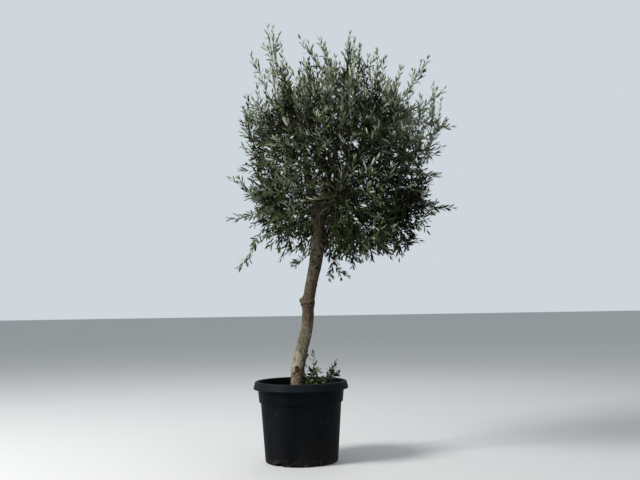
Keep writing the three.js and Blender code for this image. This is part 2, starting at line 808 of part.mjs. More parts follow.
const tree = new THREE.Group();
tree.name = 'potted_olive_tree';

const container = new THREE.Group();
container.add(namedMesh('pot', makePot(), CONTAINER_LOOK));
container.add(namedMesh('potting_soil', makeSoil(), SOIL_LOOK));
tree.add(container);

const wood = new THREE.Group();
wood.add(namedMesh('trunk', makeTrunk(0), BARK_LOOK));
let woodSoFar = makeTrunk(FIT_GAP);
for (const bough of boughs) {
  const limb = makeLimb(bough, BOUGH_SIDES, 0).subtract(woodSoFar);
  wood.add(namedMesh(bough.name, largestBody(limb), BOUGH_LOOK));
  woodSoFar = woodSoFar.add(makeLimb(bough, BOUGH_SIDES, FIT_GAP));
}
tree.add(wood);

const foliage = new THREE.Group();
for (const mass of crownMasses) {
  const bough = boughs.find((candidate) => candidate.name === mass.bough);
  const look = mass.tier.tier === 'lower' ? LEAF_LOOK : TIP_LEAF_LOOK;
  foliage.add(namedMesh(mass.name, largestBody(makeMass(mass, crownStem(mass, bough))), look));
}
for (const sprig of sprigs) {
  const shoots = makeMass(sprig, sprigStem(sprig)).subtract(woodSoFar);
  foliage.add(namedMesh(sprig.name, largestBody(shoots), TIP_LEAF_LOOK));
}
tree.add(foliage);

export default tree;
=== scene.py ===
"""Looks of a potted olive tree: its bark, twigs and leaves grow by the rule that its solids grow by.

Sizes are in millimetres, as in the source of the solids, and become metres when a mesh is made.
+Z is up. Seen from the front, +X points right and +Y points away.
"""

import logging
import math
from dataclasses import dataclass
from enum import Enum, IntEnum
from functools import cached_property
from typing import Any, NamedTuple

import bpy
import numpy as np
from mathutils import Matrix, Vector
from numpy import ndarray as Array


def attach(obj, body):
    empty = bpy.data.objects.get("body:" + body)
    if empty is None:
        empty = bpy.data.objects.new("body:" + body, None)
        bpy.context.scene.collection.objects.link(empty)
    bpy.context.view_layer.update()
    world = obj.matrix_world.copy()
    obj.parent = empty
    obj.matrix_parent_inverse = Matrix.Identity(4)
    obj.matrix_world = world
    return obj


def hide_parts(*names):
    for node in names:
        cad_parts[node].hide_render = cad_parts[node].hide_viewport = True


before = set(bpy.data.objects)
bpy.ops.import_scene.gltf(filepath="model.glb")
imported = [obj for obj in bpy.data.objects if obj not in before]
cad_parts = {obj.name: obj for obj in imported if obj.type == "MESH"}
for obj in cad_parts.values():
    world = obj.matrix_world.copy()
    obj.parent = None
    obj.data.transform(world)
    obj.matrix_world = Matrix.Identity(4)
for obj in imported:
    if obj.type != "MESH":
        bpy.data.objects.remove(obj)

Material = bpy.types.Material
Piece = bpy.types.Object
Pair = tuple[float, float]
Point = tuple[float, float, float]
Colour = tuple[float, float, float, float]
Relief = tuple[int, int, int, float]

LOG = logging.getLogger("olive_tree")

METRES = 0.001
FIT_GAP = 0.3
SOIL_TOP = 315.0
GOLDEN_ANGLE = math.radians(137.5)
TURN = 2 * math.pi
RIGHT = np.array([1.0, 0.0, 0.0])
UP = np.array([0.0, 0.0, 1.0])
STEEP = 0.8
NUDGE = 1e-4
TINY = 1e-6
WORD = 0xFFFFFFFF


def unit(vectors: Array) -> Array:
    """The direction of a vector, or of each row of vectors."""
    return vectors / np.linalg.norm(vectors, axis=-1, keepdims=True)


def outward(bearing: float) -> Array:
    """The level direction at a bearing from +X."""
    return np.array([math.cos(bearing), math.sin(bearing), 0.0])


def cross_directions(tangent: Array, reference: Array) -> tuple[Array, Array]:
    """Two directions square to a tangent, the first of them also square to a reference."""
    side = unit(np.cross(tangent, reference))
    return side, np.cross(side, tangent)


def risen(value: Any, start: float, span: float) -> Any:
    """How far values have risen past a start over a span: from 0 to 1."""
    return np.clip((value - start) / span, 0, 1)


def steady_reference(direction: Array) -> Array:
    """The axis that a direction is well away from."""
    return RIGHT if abs(direction[2]) > STEEP else UP


def lean_from(tangent: Array, around: float, lean: float) -> Array:
    """A direction that leans away from a tangent, at an angle round it."""
    side, other = cross_directions(tangent, steady_reference(tangent))
    return tangent * math.cos(lean) + (side * math.cos(around) + other * math.sin(around)) * math.sin(lean)


@dataclass
class SeededStream:
    """The repeatable stream of numbers that the solids were grown with, kept to 32 bits."""

    state: int

    def draw(self) -> float:
        """Draws the next number.

        Returns:
            A number from 0 to 1.
        """
        self.state = (self.state + 0x6D2B79F5) & WORD
        mixed = (self.state ^ (self.state >> 15)) * (self.state | 1) & WORD
        mixed = ((mixed + (mixed ^ (mixed >> 7)) * (mixed | 61)) & WORD) ^ mixed
        return (mixed ^ (mixed >> 14)) / (WORD + 1)


def to_skin(points: Array, angles: Array) -> Array:
    """The directions from a centre line to the skin round it.

    Args:
        points: The points of the centre line.
        angles: The angles round it.

    Returns:
        The directions, by point and then by angle.
    """
    tangents = unit(np.gradient(points, axis=0))
    side = unit(np.cross(tangents, steady_reference(unit(points[-1] - points[0]))))
    other = np.cross(side, tangents)
    return side[:, None] * np.cos(angles)[:, None] + other[:, None] * np.sin(angles)[:, None]


class Line:
    """A line through space, read by a share from 0 to 1."""

    def points(self, shares: Array) -> Array:
        """Points on the line, one for each share."""
        raise NotImplementedError

    def point(self, share: float) -> Array:
        """The point at one share."""
        return self.points(np.array([share]))[0]

    def tangent(self, share: float) -> Array:
        """The line's direction at a share."""
        before, after = self.points(np.array([max(share - NUDGE, 0.0), min(share + NUDGE, 1.0)]))
        return unit(after - before)

    def span(self) -> float:
        """The straight distance between the line's ends."""
        start, end = self.points(np.array([0.0, 1.0]))
        return float(np.linalg.norm(end - start))


@dataclass(frozen=True)
class Bow(Line):
    """A simple curve from a start, drawn towards a bend, to an end."""

    start: Array
    bend: Array
    end: Array

    def points(self, shares: Array) -> Array:
        """Points on the curve, one for each share."""
        share = np.asarray(shares, float)[:, None]
        return (1 - share) ** 2 * self.start + 2 * share * (1 - share) * self.bend + share**2 * self.end


@dataclass(frozen=True)
class Smooth(Line):
    """A smooth line through rows of points."""

    rows: Array

    def points(self, shares: Array) -> Array:
        """Points on the line, one for each share.

        Args:
            shares: Shares of the line, from 0 to 1.

        Returns:
            A point for each share.
        """
        rows = self.rows
        padded = np.vstack([2 * rows[0] - rows[1], rows, 2 * rows[-1] - rows[-2]])
        place = np.asarray(shares, float) * (len(rows) - 1)
        index = np.clip(np.floor(place).astype(int), 0, len(rows) - 2)
        part = (place - index)[:, None]
        before, here, there, after = (padded[index + step] for step in range(4))
        leave = 0.5 * (there - before)
        arrive = 0.5 * (after - here)
        bend = 3 * (there - here) - 2 * leave - arrive
        twist = 2 * (here - there) + leave + arrive
        return here + leave * part + bend * part**2 + twist * part**3


@dataclass(frozen=True)
class Limb:
    """A tapering limb along a line, built in straight lengths between rings."""

    line: Line
    root: float
    tip: float
    rings: int

    def radius(self, share: Array | float) -> Array | float:
        """The limb's radius at a share of its length."""
        return self.root + (self.tip - self.root) * share

    def axis_point(self, share: float) -> Array:
        """A point on the axis of the limb as its solid is built.

        Args:
            share: The share of its length.

        Returns:
            The point.
        """
        length = min(int(share * self.rings), self.rings - 1)
        start, end = self.line.points(np.array([length, length + 1]) / self.rings)
        return start + (end - start) * (share * self.rings - length)


@dataclass(frozen=True)
class Snag:
    """A pruned snag: its height, bearing from +X in degrees, radius and how far it stands out."""

    height: float
    bearing: float
    radius: float
    length: float


@dataclass(frozen=True)
class Trunk:
    """The leaning trunk, from the soil to its fork."""

    rows: tuple[tuple[float, float, float, float], ...] = (
        (SOIL_TOP + FIT_GAP, -11, 0, 92), (345, -13, 0, 68), (414, -14, 3, 61), (506, 4, 5, 61),
        (574, 25, 4, 56), (640, 37, 0, 52.5), (713, 40, -3, 53.5), (782, 49, -4, 56), (875, 69, -2, 60),
        (940, 82, 2, 63), (1014, 89, 4, 61), (1107, 93, 3, 57), (1185, 101, 0, 60),
    )
    snags: tuple[Snag, ...] = (
        Snag(731, 175, 8, 15), Snag(712, 300, 10, 5), Snag(478, -5, 4, 10), Snag(384, -20, 9, 9),
        Snag(905, 250, 10, 6), Snag(985, 320, 11, 7), Snag(1052, 205, 10, 9),
    )
    lobes: int = 5
    lobe_depth: float = 0.16
    flare_height: float = 60.0
    halvings: int = 30

    @cached_property
    def line(self) -> Smooth:
        """The centre line."""
        return Smooth(np.array([[x, y, height] for height, x, y, _ in self.rows], float))

    @cached_property
    def girth(self) -> Smooth:
        """The radius, as the first number of each point."""
        return Smooth(np.array([[width / 2, 0, height] for height, _, _, width in self.rows], float))

    def share_at(self, height: float) -> float:
        """The share of the centre line at a height, by halving the range.

        Args:
            height: The height.

        Returns:
            The share.
        """
        low, high = 0.0, 1.0
        for _ in range(self.halvings):
            middle = (low + high) / 2
            if self.line.point(middle)[2] < height:
                low = middle
            else:
                high = middle
        return (low + high) / 2

    def centre(self, height: float) -> Array:
        """The centre of the trunk at a height."""
        return self.line.point(self.share_at(height))

    def radius(self, height: float) -> float:
        """The radius of the trunk at a height."""
        return float(self.girth.point(self.share_at(height))[0])

    def lobe(self, heights: Array, angles: Array) -> Array:
        """How far the root flare swells the trunk at heights and angles."""
        flare = np.clip(1 - (heights - SOIL_TOP) / self.flare_height, 0, 1)
        return 1 + self.lobe_depth * flare**2 * np.cos(self.lobes * angles)


@dataclass(frozen=True)
class LeafSize:
    """One size of leaf in the solids, each standing for a spray, and the gap between pairs."""

    length: float
    width: float
    thickness: float
    pair_gap: float


class Origin(Enum):
    """What a mass of leaves grows from."""

    BOUGH = "bough"
    TRUNK = "trunk"
    SOIL = "soil"


@dataclass(frozen=True)
class Tier:
    """A ring of crown masses, each carried by one bough."""

    name: str
    shift: float
    height: float
    spread: float
    size: float
    turn: float
    arch: float
    bough_radius: float
    sides: tuple[str, ...]


@dataclass(frozen=True)
class Sprig:
    """A small leafy growth on the trunk or from the roots."""

    name: str
    origin: Origin
    foot: Pair
    centre: Point
    head: Point
    facing: Point
    size: float
    twigs: int


@dataclass(eq=False)
class Mass:
    """A mass of leaves with its own space: where it is, how it grows and the limbs that carry it."""

    name: str
    origin: Origin
    centre: Array
    size: float
    seed: int
    twigs: int
    facing: Array
    bough: Limb | None
    stem: Limb

    @property
    def in_crown(self) -> bool:
        """Whether the mass is part of the crown."""
        return self.origin is Origin.BOUGH


@dataclass(frozen=True)
class SprayPlace:
    """Where a leaf of the solids stands, which is where a spray of real leaves grows."""

    share: float
    direction: Array
    length: float


@dataclass(frozen=True)
class Twig:
    """A twig of the solids with the places of its sprays."""

    limb: Limb
    places: list[SprayPlace]
    long_shoot: bool = False


TIERS = (
    Tier("lower", 0, 1172, 240, 205, 0, 40, 13, ("right", "back", "left", "front")),
    Tier("upper", 0, 1555, 240, 215, 45, -35, 17, ("right_back", "left_back", "left_front", "right_front")),
    Tier("top", 50, 1705, 0, 135, 0, 0, 14, ("centre",)),
)

SPRIGS = (
    Sprig(
        "sprig_right", Origin.TRUNK, (962, -20), (168, -30, 880), (182, -40, 862), (0.8, -0.2, -0.6), 100, 7
    ),
    Sprig("sprig_left", Origin.TRUNK, (948, 200), (20, -26, 918), (6, -30, 916), (-0.9, -0.4, 0), 88, 5),
    Sprig("basal_shoot_inner", Origin.SOIL, (52, -18), (60, -16, 396), (62, -20, 432), (0, 0, 1), 100, 9),
    Sprig("basal_shoot_outer", Origin.SOIL, (112, -22), (124, -20, 380), (140, -24, 402), (0, 0, 1), 88, 8),
)

LONG_SHOOT_TIPS = (
    (-154, -40, 2035), (-228, 40, 1902), (5, -90, 1932), (100, 60, 1978), (252, -60, 1968),
    (395, 70, 1905), (629, -20, 1846), (722, 40, 1722), (742, -30, 1514), (744, -10, 1155),
    (455, -110, 905), (-284, -60, 882), (-338, -30, 1114), (-336, 50, 1325), (-272, -60, 1545),
    (-262, 30, 1690), (150, -440, 1700), (300, 445, 1620),
)


@dataclass
class GrowthRule:
    """The rule that the crown grows by, the same as in the source of the solids."""

    trunk: Trunk
    crown_centre: Point = (187, 0, 1388)
    crown_halves: Point = (425, 400, 440)
    crown_fullness: float = 3
    space_margin: float = 0.8
    limb_margin: float = 1.5
    reach_margin: float = 6
    reach_step: float = 10
    bough_tip: float = 8.5
    bough_rings: int = 6
    bough_first: float = 1078
    bough_step: float = 22
    bough_entry: float = 0.4
    bough_sway: float = 24
    fork_height: float = 1172
    fork_offset: float = 10
    stem_radii: Pair = (7.5, 5)
    stem_rings: int = 3
    stem_bare: float = 0.6
    stem_outward: float = 0.42
    stem_upward: float = 0.12
    twig_radii: Pair = (3.6, 2.6)
    twigs_a_mass: int = 19
    twig_shortest: float = 25
    twig_longest: float = 300
    twig_backward: float = 0.45
    twig_bare: float = 0.3
    twig_start: Pair = (0.5, 0.42)
    twig_reach: float = 0.85
    leaf_forward: float = 0.72
    leaf: LeafSize = LeafSize(138, 44, 3.2, 92)
    shoot_leaf: LeafSize = LeafSize(105, 26, 2.4, 105)
    small_leaf: LeafSize = LeafSize(56, 14, 1.8, 34)
    leaf_lean: float = math.radians(42)
    leaf_lean_chance: float = 0.3
    leaf_turn_chance: float = 0.8
    leaf_sunk: float = 1.2
    leaf_scales: tuple[float, ...] = (1, 0.8, 0.6, 0.45)
    shoot_start: float = 0.55
    shoot_bare: float = 0.5
    shoot_bend: Pair = (0.7, 0.3)
    shoot_rings: int = 4
    crown_seeds: tuple[int, int] = (1000, 37)
    sprig_seeds: tuple[int, int] = (5000, 61)
    sprig_radii: Pair = (4.2, 3)
    sprig_twig_shortest: float = 10
    sprig_sunk: float = 5
    sprig_dip: float = 4
    soil_margin: float = 2
    limb_lengths: int = 16

    def __post_init__(self) -> None:
        """Lists the masses, tier by tier and then sprig by sprig, and measures the limbs."""
        self.centre = np.array(self.crown_centre)
        self.masses: list[Mass] = []
        for tier in TIERS:
            for index, side in enumerate(tier.sides):
                self.masses.append(self.crown_mass(tier, index, f"{tier.name}_{side}"))
        for index, sprig in enumerate(SPRIGS):
            centre, facing = np.array(sprig.centre, float), np.array(sprig.facing, float)
            stem = self.sprig_stem(sprig)
            seed = self.sprig_seeds[0] + self.sprig_seeds[1] * index
            mass = Mass(sprig.name, sprig.origin, centre, sprig.size, seed, sprig.twigs, facing, None, stem)
            self.masses.append(mass)
        self.measure_limbs()

    def crown_mass(self, tier: Tier, index: int, name: str) -> Mass:
        """A mass of the crown, with its bough, and its stem that carries on from it, up and outward.

        Args:
            tier: The tier that the mass is in.
            index: Its place in the tier.
            name: Its name.

        Returns:
            The mass.
        """
        around = outward(math.radians(tier.turn) + index * TURN / len(tier.sides))
        facing = around if tier.spread > 0 else UP
        axis = np.array([self.crown_centre[0] + tier.shift, self.crown_centre[1], tier.height])
        centre = axis + around * tier.spread
        seed = self.crown_seeds[0] + self.crown_seeds[1] * len(self.masses)
        foot = self.trunk.centre(self.fork_height)
        if tier.name == "lower":
            foot = self.trunk.centre(self.bough_first + self.bough_step * index)
        elif tier.spread > 0:
            foot = foot + facing * self.fork_offset
        tip = centre - unit(centre - foot) * self.bough_entry * tier.size
        middle = (foot + tip) / 2 + UP * tier.arch - facing * tier.arch
        middle = middle + outward(seed * GOLDEN_ANGLE) * self.bough_sway
        bough = Limb(Bow(foot, middle, tip), tier.bough_radius, self.bough_tip, self.bough_rings)
        heading = bough.line.tangent(1.0)
        start = tip + heading * FIT_GAP
        head = centre + facing * self.stem_outward * tier.size + UP * self.stem_upward * tier.size
        bend = start + heading * 0.5 * np.linalg.norm(head - start)
        stem = Limb(Bow(start, bend, head), *self.stem_radii, self.stem_rings)
        return Mass(name, Origin.BOUGH, centre, tier.size, seed, self.twigs_a_mass, facing, bough, stem)

    def sprig_stem(self, sprig: Sprig) -> Limb:
        """The stem of a small mass, from the trunk's side or from the soil.

        Args:
            sprig: The sprig that it carries.

        Returns:
            The stem.
        """
        head = np.array(sprig.head, float)
        if sprig.origin is Origin.TRUNK:
            height, bearing = sprig.foot
            reach = self.trunk.radius(height) - self.sprig_sunk
            foot = self.trunk.centre(height) + outward(math.radians(bearing)) * reach
            bend = (foot + head) / 2
            bend[2] = foot[2] - self.sprig_dip
        else:
            foot = np.array([*sprig.foot, SOIL_TOP + FIT_GAP])
            bend = np.array([foot[0], foot[1], (foot[2] + head[2]) / 2])
        return Limb(Bow(foot, bend, head), *self.sprig_radii, self.stem_rings)

    def measure_limbs(self) -> None:
        """Cuts the trunk and boughs into short straight lengths, to keep leaves clear of."""
        shares = np.linspace(0, 1, self.limb_lengths + 1)
        limbs = [(mass.bough.line, mass.bough.radius) for mass in self.masses if mass.bough]
        limbs.append((self.trunk.line, lambda share: self.trunk.girth.point(share)[0]))
        points = [line.points(shares) for line, _ in limbs]
        self.limb_starts = np.vstack([row[:-1] for row in points])
        self.limb_runs = np.vstack([row[1:] - row[:-1] for row in points])
        self.limb_radii = np.array([radius_at(share) for _, radius_at in limbs for share in shares[:-1]])

    def crown_reach(self, points: Array) -> Array:
        """How far out points lie in the crown: below 1 inside its outline."""
        across, away, rise = np.abs((points - self.centre) / np.array(self.crown_halves)).T
        return np.hypot(across, away) ** self.crown_fullness + rise**self.crown_fullness

    def clear_of_limbs(self, points: Array, half_width: Array | float) -> Array:
        """Which points are clear of the trunk and boughs.

        Args:
            points: Rows of points.
            half_width: Half the width of what stands at each point.

        Returns:
            True for each point that is clear.
        """
        offset = points[:, None, :] - self.limb_starts[None]
        along = np.sum(offset * self.limb_runs, axis=2) / np.sum(self.limb_runs**2, axis=1)
        nearest = offset - np.clip(along, 0, 1)[..., None] * self.limb_runs
        needed = self.limb_radii + self.limb_margin + np.reshape(half_width, (-1, 1))
        return (np.linalg.norm(nearest, axis=2) > needed).all(axis=1)


@dataclass
class SolidGrowth:
    """One mass as its solid grows: a stem, twigs, and places for sprays, inside the mass's own space."""

    rule: GrowthRule
    mass: Mass

    def __post_init__(self) -> None:
        """Starts the mass's stream of numbers."""
        self.stream = SeededStream(self.mass.seed)
        self.leaf = self.rule.leaf if self.mass.in_crown else self.rule.small_leaf

    def room(self, points: Array) -> Array:
        """How far points lie from the nearest wall of the mass's space, below zero outside it.

        Args:
            points: Rows of points.

        Returns:
            The distance for each point.
        """
        mass = self.mass
        from_centre = np.linalg.norm(points - mass.centre, axis=1)
        own = from_centre**2 - mass.size**2
        room = np.full(len(points), np.inf) if mass.in_crown else mass.size - from_centre
        for other in self.rule.masses:
            away = np.linalg.norm(points - other.centre, axis=1)
            if other is not mass and other.in_crown == mass.in_crown:
                between = 2 * np.linalg.norm(other.centre - mass.centre)
                room = np.minimum(room, (away**2 - other.size**2 - own) / between)
            elif mass.in_crown and not other.in_crown:
                room = np.minimum(room, away - other.size)
        return room

    def above_soil(self, points: Array) -> Array:
        """Which points are above the soil."""
        return (points[:, 2] > SOIL_TOP + self.rule.soil_margin) | self.mass.in_crown

    def reach_along(self, start: Array, direction: Array) -> float:
        """How far a straight twig can run before it leaves the mass's space or the crown's outline.

        Args:
            start: Where the twig starts.
            direction: Where it heads.

        Returns:
            The length it can have.
        """
        rule = self.rule
        steps = np.arange(1, math.ceil((rule.twig_longest + self.leaf.length) / rule.reach_step) + 1)
        points = start + direction * (steps * rule.reach_step)[:, None]
        blocked = self.room(points) < rule.reach_margin
        if self.mass.in_crown:
            blocked |= rule.crown_reach(points) >= 1
        return (int(np.argmax(blocked)) if blocked.any() else len(steps)) * rule.reach_step

    def leaf_fits(self, root: Array, direction: Array, side: Array, length: float, width: float) -> bool:
        """Whether a leaf of the solids keeps to the mass's space and clear of the limbs.

        Args:
            root: The leaf's root.
            direction: The way it points.
            side: The direction across its blade.
            length: Its length.
            width: Its width.

        Returns:
            True if it fits.
        """
        middle = root + direction * length / 2
        half = side * width / 2
        corners = np.array([root, root + direction * length, middle + half, middle - half])
        inside = self.room(corners) > self.rule.space_margin + self.leaf.thickness
        if not (inside & self.above_soil(corners)).all():
            return False
        shares = np.arange(1, 6) / 5
        points = root + direction * (length * shares)[:, None]
        clear = self.rule.clear_of_limbs(points, width / 2 * (1 - np.abs(2 * shares - 1)))
        return bool(((self.room(points) > self.rule.space_margin) & clear).all())

    def fit_leaf(self, size: LeafSize, at: Array, direction: Array, share: float) -> SprayPlace | None:
        """Tries a leaf of the solids at full size and then smaller, turned about its own direction.

        Args:
            size: The leaf's size.
            at: The point on the twig's axis that it grows from.
            direction: The way it points.
            share: The share of the twig's length that it stands at.

        Returns:
            The place, or None where no size fits.
        """
        around = self.stream.draw() * math.pi
        side, other = cross_directions(direction, steady_reference(direction))
        across = side * math.cos(around) - other * math.sin(around)
        root = at - direction * self.rule.leaf_sunk
        for scale in self.rule.leaf_scales:
            length = size.length * scale + self.rule.leaf_sunk
            if self.leaf_fits(root, direction, across, length, size.width * scale):
                return SprayPlace(share, direction, length)
        return None

    def places_on(self, limb: Limb, size: LeafSize, bare: float) -> list[SprayPlace]:
        """The places of the sprays on a twig: opposite pairs, each turned a quarter, and one at its end.

        Args:
            limb: The twig.
            size: The size of its leaves in the solids.
            bare: The share of the twig that stays bare.

        Returns:
            The places that fit.
        """
        rule = self.rule
        places = []
        pairs = max(1, math.floor(limb.line.span() * (1 - bare) / size.pair_gap + 0.5))
        for pair in range(pairs):
            share = bare + (1 - bare) * (pair + 0.5) / pairs
            point = limb.axis_point(share)
            tangent = limb.line.tangent(share)
            turn = pair * math.pi / 2 + self.stream.draw() * rule.leaf_turn_chance
            for half in (0, math.pi):
                lean = rule.leaf_lean + (self.stream.draw() - 0.5) * rule.leaf_lean_chance
                places.append(self.fit_leaf(size, point, lean_from(tangent, turn + half, lean), share))
        places.append(self.fit_leaf(size, limb.line.point(1.0), limb.line.tangent(1.0), 1.0))
        return [place for place in places if place]

    def side_twig(self, direction: Array) -> Limb | None:
        """A side twig from the stem, as long as the mass's space allows.

        Args:
            direction: Where it heads.

        Returns:
            The twig, or None without room for it.
        """
        rule, stem = self.rule, self.mass.stem
        stem_start, stem_end = stem.line.points(np.array([0.0, 1.0]))
        middle, spread = rule.twig_start
        start = stem.axis_point(middle + spread * float(direction @ unit(stem_end - stem_start)))
        share = rule.twig_reach + (1 - rule.twig_reach) * self.stream.draw()
        reach = self.reach_along(start, direction) * share
        length = min(rule.twig_longest, reach - rule.leaf_forward * self.leaf.length)
        if length < (rule.twig_shortest if self.mass.in_crown else rule.sprig_twig_shortest):
            return None
        slimness = stem.root / rule.stem_radii[0]
        root, tip = (radius * slimness for radius in rule.twig_radii)
        end = start + direction * length
        twig = Limb(Bow(start, (start + end) / 2, end), root, tip, 1)
        points = twig.line.points(np.arange(7) / 6)
        fits = (self.room(points) >= rule.space_margin + root) & self.above_soil(points)
        return twig if fits.all() and rule.clear_of_limbs(points[2:], root).all() else None

    def long_shoots(self) -> list[Limb]:
        """The long shoots whose tips lie in the mass's space, bent out and then to their tips.

        Returns:
            The shoots.
        """
        shoots = []
        for tip in LONG_SHOOT_TIPS:
            end = np.array(tip, float)
            if self.mass.in_crown and self.room(end[None])[0] > 0:
                start = self.mass.stem.axis_point(self.rule.shoot_start)
                end = end - unit(end - start) * self.rule.shoot_leaf.length
                level, upward = self.rule.shoot_bend
                bend = start + (end - start) * (level, level, upward)
                shoots.append(Limb(Bow(start, bend, end), *self.rule.twig_radii, self.rule.shoot_rings))
        return shoots

    def solid_twigs(self) -> list[Twig]:
        """The twigs spread evenly round the stem, then the stem, then the long shoots.

        Returns:
            The twigs with their places.
        """
        rule, mass = self.rule, self.mass
        turn = TURN * self.stream.draw()
        grown = []
        for index in range(mass.twigs):
            rise = 1 - 2 * (index + 0.5) / mass.twigs
            direction = outward(index * GOLDEN_ANGLE + turn) * math.sqrt(1 - rise * rise) + UP * rise
            if direction @ mass.facing > -rule.twig_backward:
                limb = self.side_twig(direction)
                if limb:
                    grown.append(Twig(limb, self.places_on(limb, self.leaf, rule.twig_bare)))
        grown.append(Twig(mass.stem, self.places_on(mass.stem, self.leaf, rule.stem_bare)))
        for limb in self.long_shoots():
            grown.append(Twig(limb, self.places_on(limb, rule.shoot_leaf, rule.shoot_bare), long_shoot=True))
        return grown


@dataclass
class Signal:
    """A shader socket of a recipe in an expression. Each operator adds a Math node."""

    recipe: "Recipe"
    socket: bpy.types.NodeSocket

    def math(self, operation: str, first: Any, second: Any) -> "Signal":
        """The result of a Math node on two values or signals."""
        return self.recipe.add("ShaderNodeMath", {"operation": operation}, {0: first, 1: second})

    def __add__(self, other: Any) -> "Signal":
        """This plus a value or signal."""
        return self.math("ADD", self, other)

    def __radd__(self, other: Any) -> "Signal":
        """A value plus this."""
        return self.math("ADD", other, self)

    def __sub__(self, other: Any) -> "Signal":
        """This less a value or signal."""
        return self.math("SUBTRACT", self, other)

    def __rsub__(self, other: Any) -> "Signal":
        """A value less this."""
        return self.math("SUBTRACT", other, self)

    def __mul__(self, other: Any) -> "Signal":
        """This times a value or signal."""
        return self.math("MULTIPLY", self, other)

    def __rmul__(self, other: Any) -> "Signal":
        """A value times this."""
        return self.math("MULTIPLY", other, self)


@dataclass
class Recipe:
    """The nodes of one material."""

    name: str

    def __post_init__(self) -> None:
        """Starts an empty material."""
        self.material = bpy.data.materials.new(self.name)
        self.material.use_nodes = True
        self.tree = self.material.node_tree
        self.tree.nodes.clear()
        self.place = self.add("ShaderNodeTexCoord", {}, {}, "Object")

    def add(self, kind: str, settings: dict[str, Any], sockets: dict[int | str, Any],
            output: int | str = 0) -> Signal:
        """Adds a node.

        Args:
            kind: The node's type.
            settings: Its settings, set first.
            sockets: Values or signals for its inputs.
            output: The output that is wanted.

        Returns:
            That output as a signal.
        """
        node = self.tree.nodes.new(kind)
        for name, value in settings.items():
            setattr(node, name, value)
        for key, value in sockets.items():
            if isinstance(value, Signal):
                self.tree.links.new(value.socket, node.inputs[key])
            else:
                node.inputs[key].default_value = value
        return Signal(self, node.outputs[output]) if len(node.outputs) else Signal(self, node.inputs[0])

    def noise(self, scale: float, stretch: tuple[float, ...] = (1, 1, 1), detail: float = 3) -> Signal:
        """Smooth noise around a half: its grains to the metre, its fineness by axis and its finer layers."""
        place = self.add("ShaderNodeVectorMath", {"operation": "MULTIPLY"}, {0: self.place, 1: stretch})
        return self.add("ShaderNodeTexNoise", {}, {"Vector": place, "Scale": scale, "Detail": detail})

    def height(self) -> Signal:
        """The height above the ground, in metres."""
        return self.add("ShaderNodeSeparateXYZ", {}, {0: self.place}, "Z")

    def facing(self, direction: Point) -> Signal:
        """How squarely the surface faces a direction, 1 where it is straight towards it."""
        sockets = {0: self.add("ShaderNodeTexCoord", {}, {}, "Normal"), 1: direction}
        return self.add("ShaderNodeVectorMath", {"operation": "DOT_PRODUCT"}, sockets, "Value")

    def between(self, value: Signal, low: float, high: float) -> Signal:
        """Goes smoothly from 0 to 1 as a value goes from low to high."""
        settings = {"interpolation_type": "SMOOTHSTEP"}
        return self.add("ShaderNodeMapRange", settings, {"Value": value, "From Min": low, "From Max": high})

    def mix(self, share: Any, first: Any, second: Any) -> Signal:
        """Goes from a first colour to a second by a share."""
        return self.add("ShaderNodeMix", {"data_type": "RGBA"}, {0: share, 6: first, 7: second}, 2)

    def bump(self, relief: Signal, strength: float, depth: float) -> Signal:
        """A normal bent by a relief, depth in metres."""
        return self.add("ShaderNodeBump", {}, {"Strength": strength, "Distance": depth, "Height": relief})

    def finish(self, colour: Any, roughness: Any, shine: float, **more: Signal) -> Material:
        """Ends the material with its main shader.

        Args:
            colour: A colour or a signal.
            roughness: A value or a signal.
            shine: The strength of its gloss.
            more: Signals for the shader's other sockets.

        Returns:
            The material.
        """
        sockets = {"Base Color": colour, "Roughness": roughness, "Specular IOR Level": shine, **more}
        shader = self.add("ShaderNodeBsdfPrincipled", {}, sockets)
        self.add("ShaderNodeOutputMaterial", {}, {"Surface": shader})
        return self.material


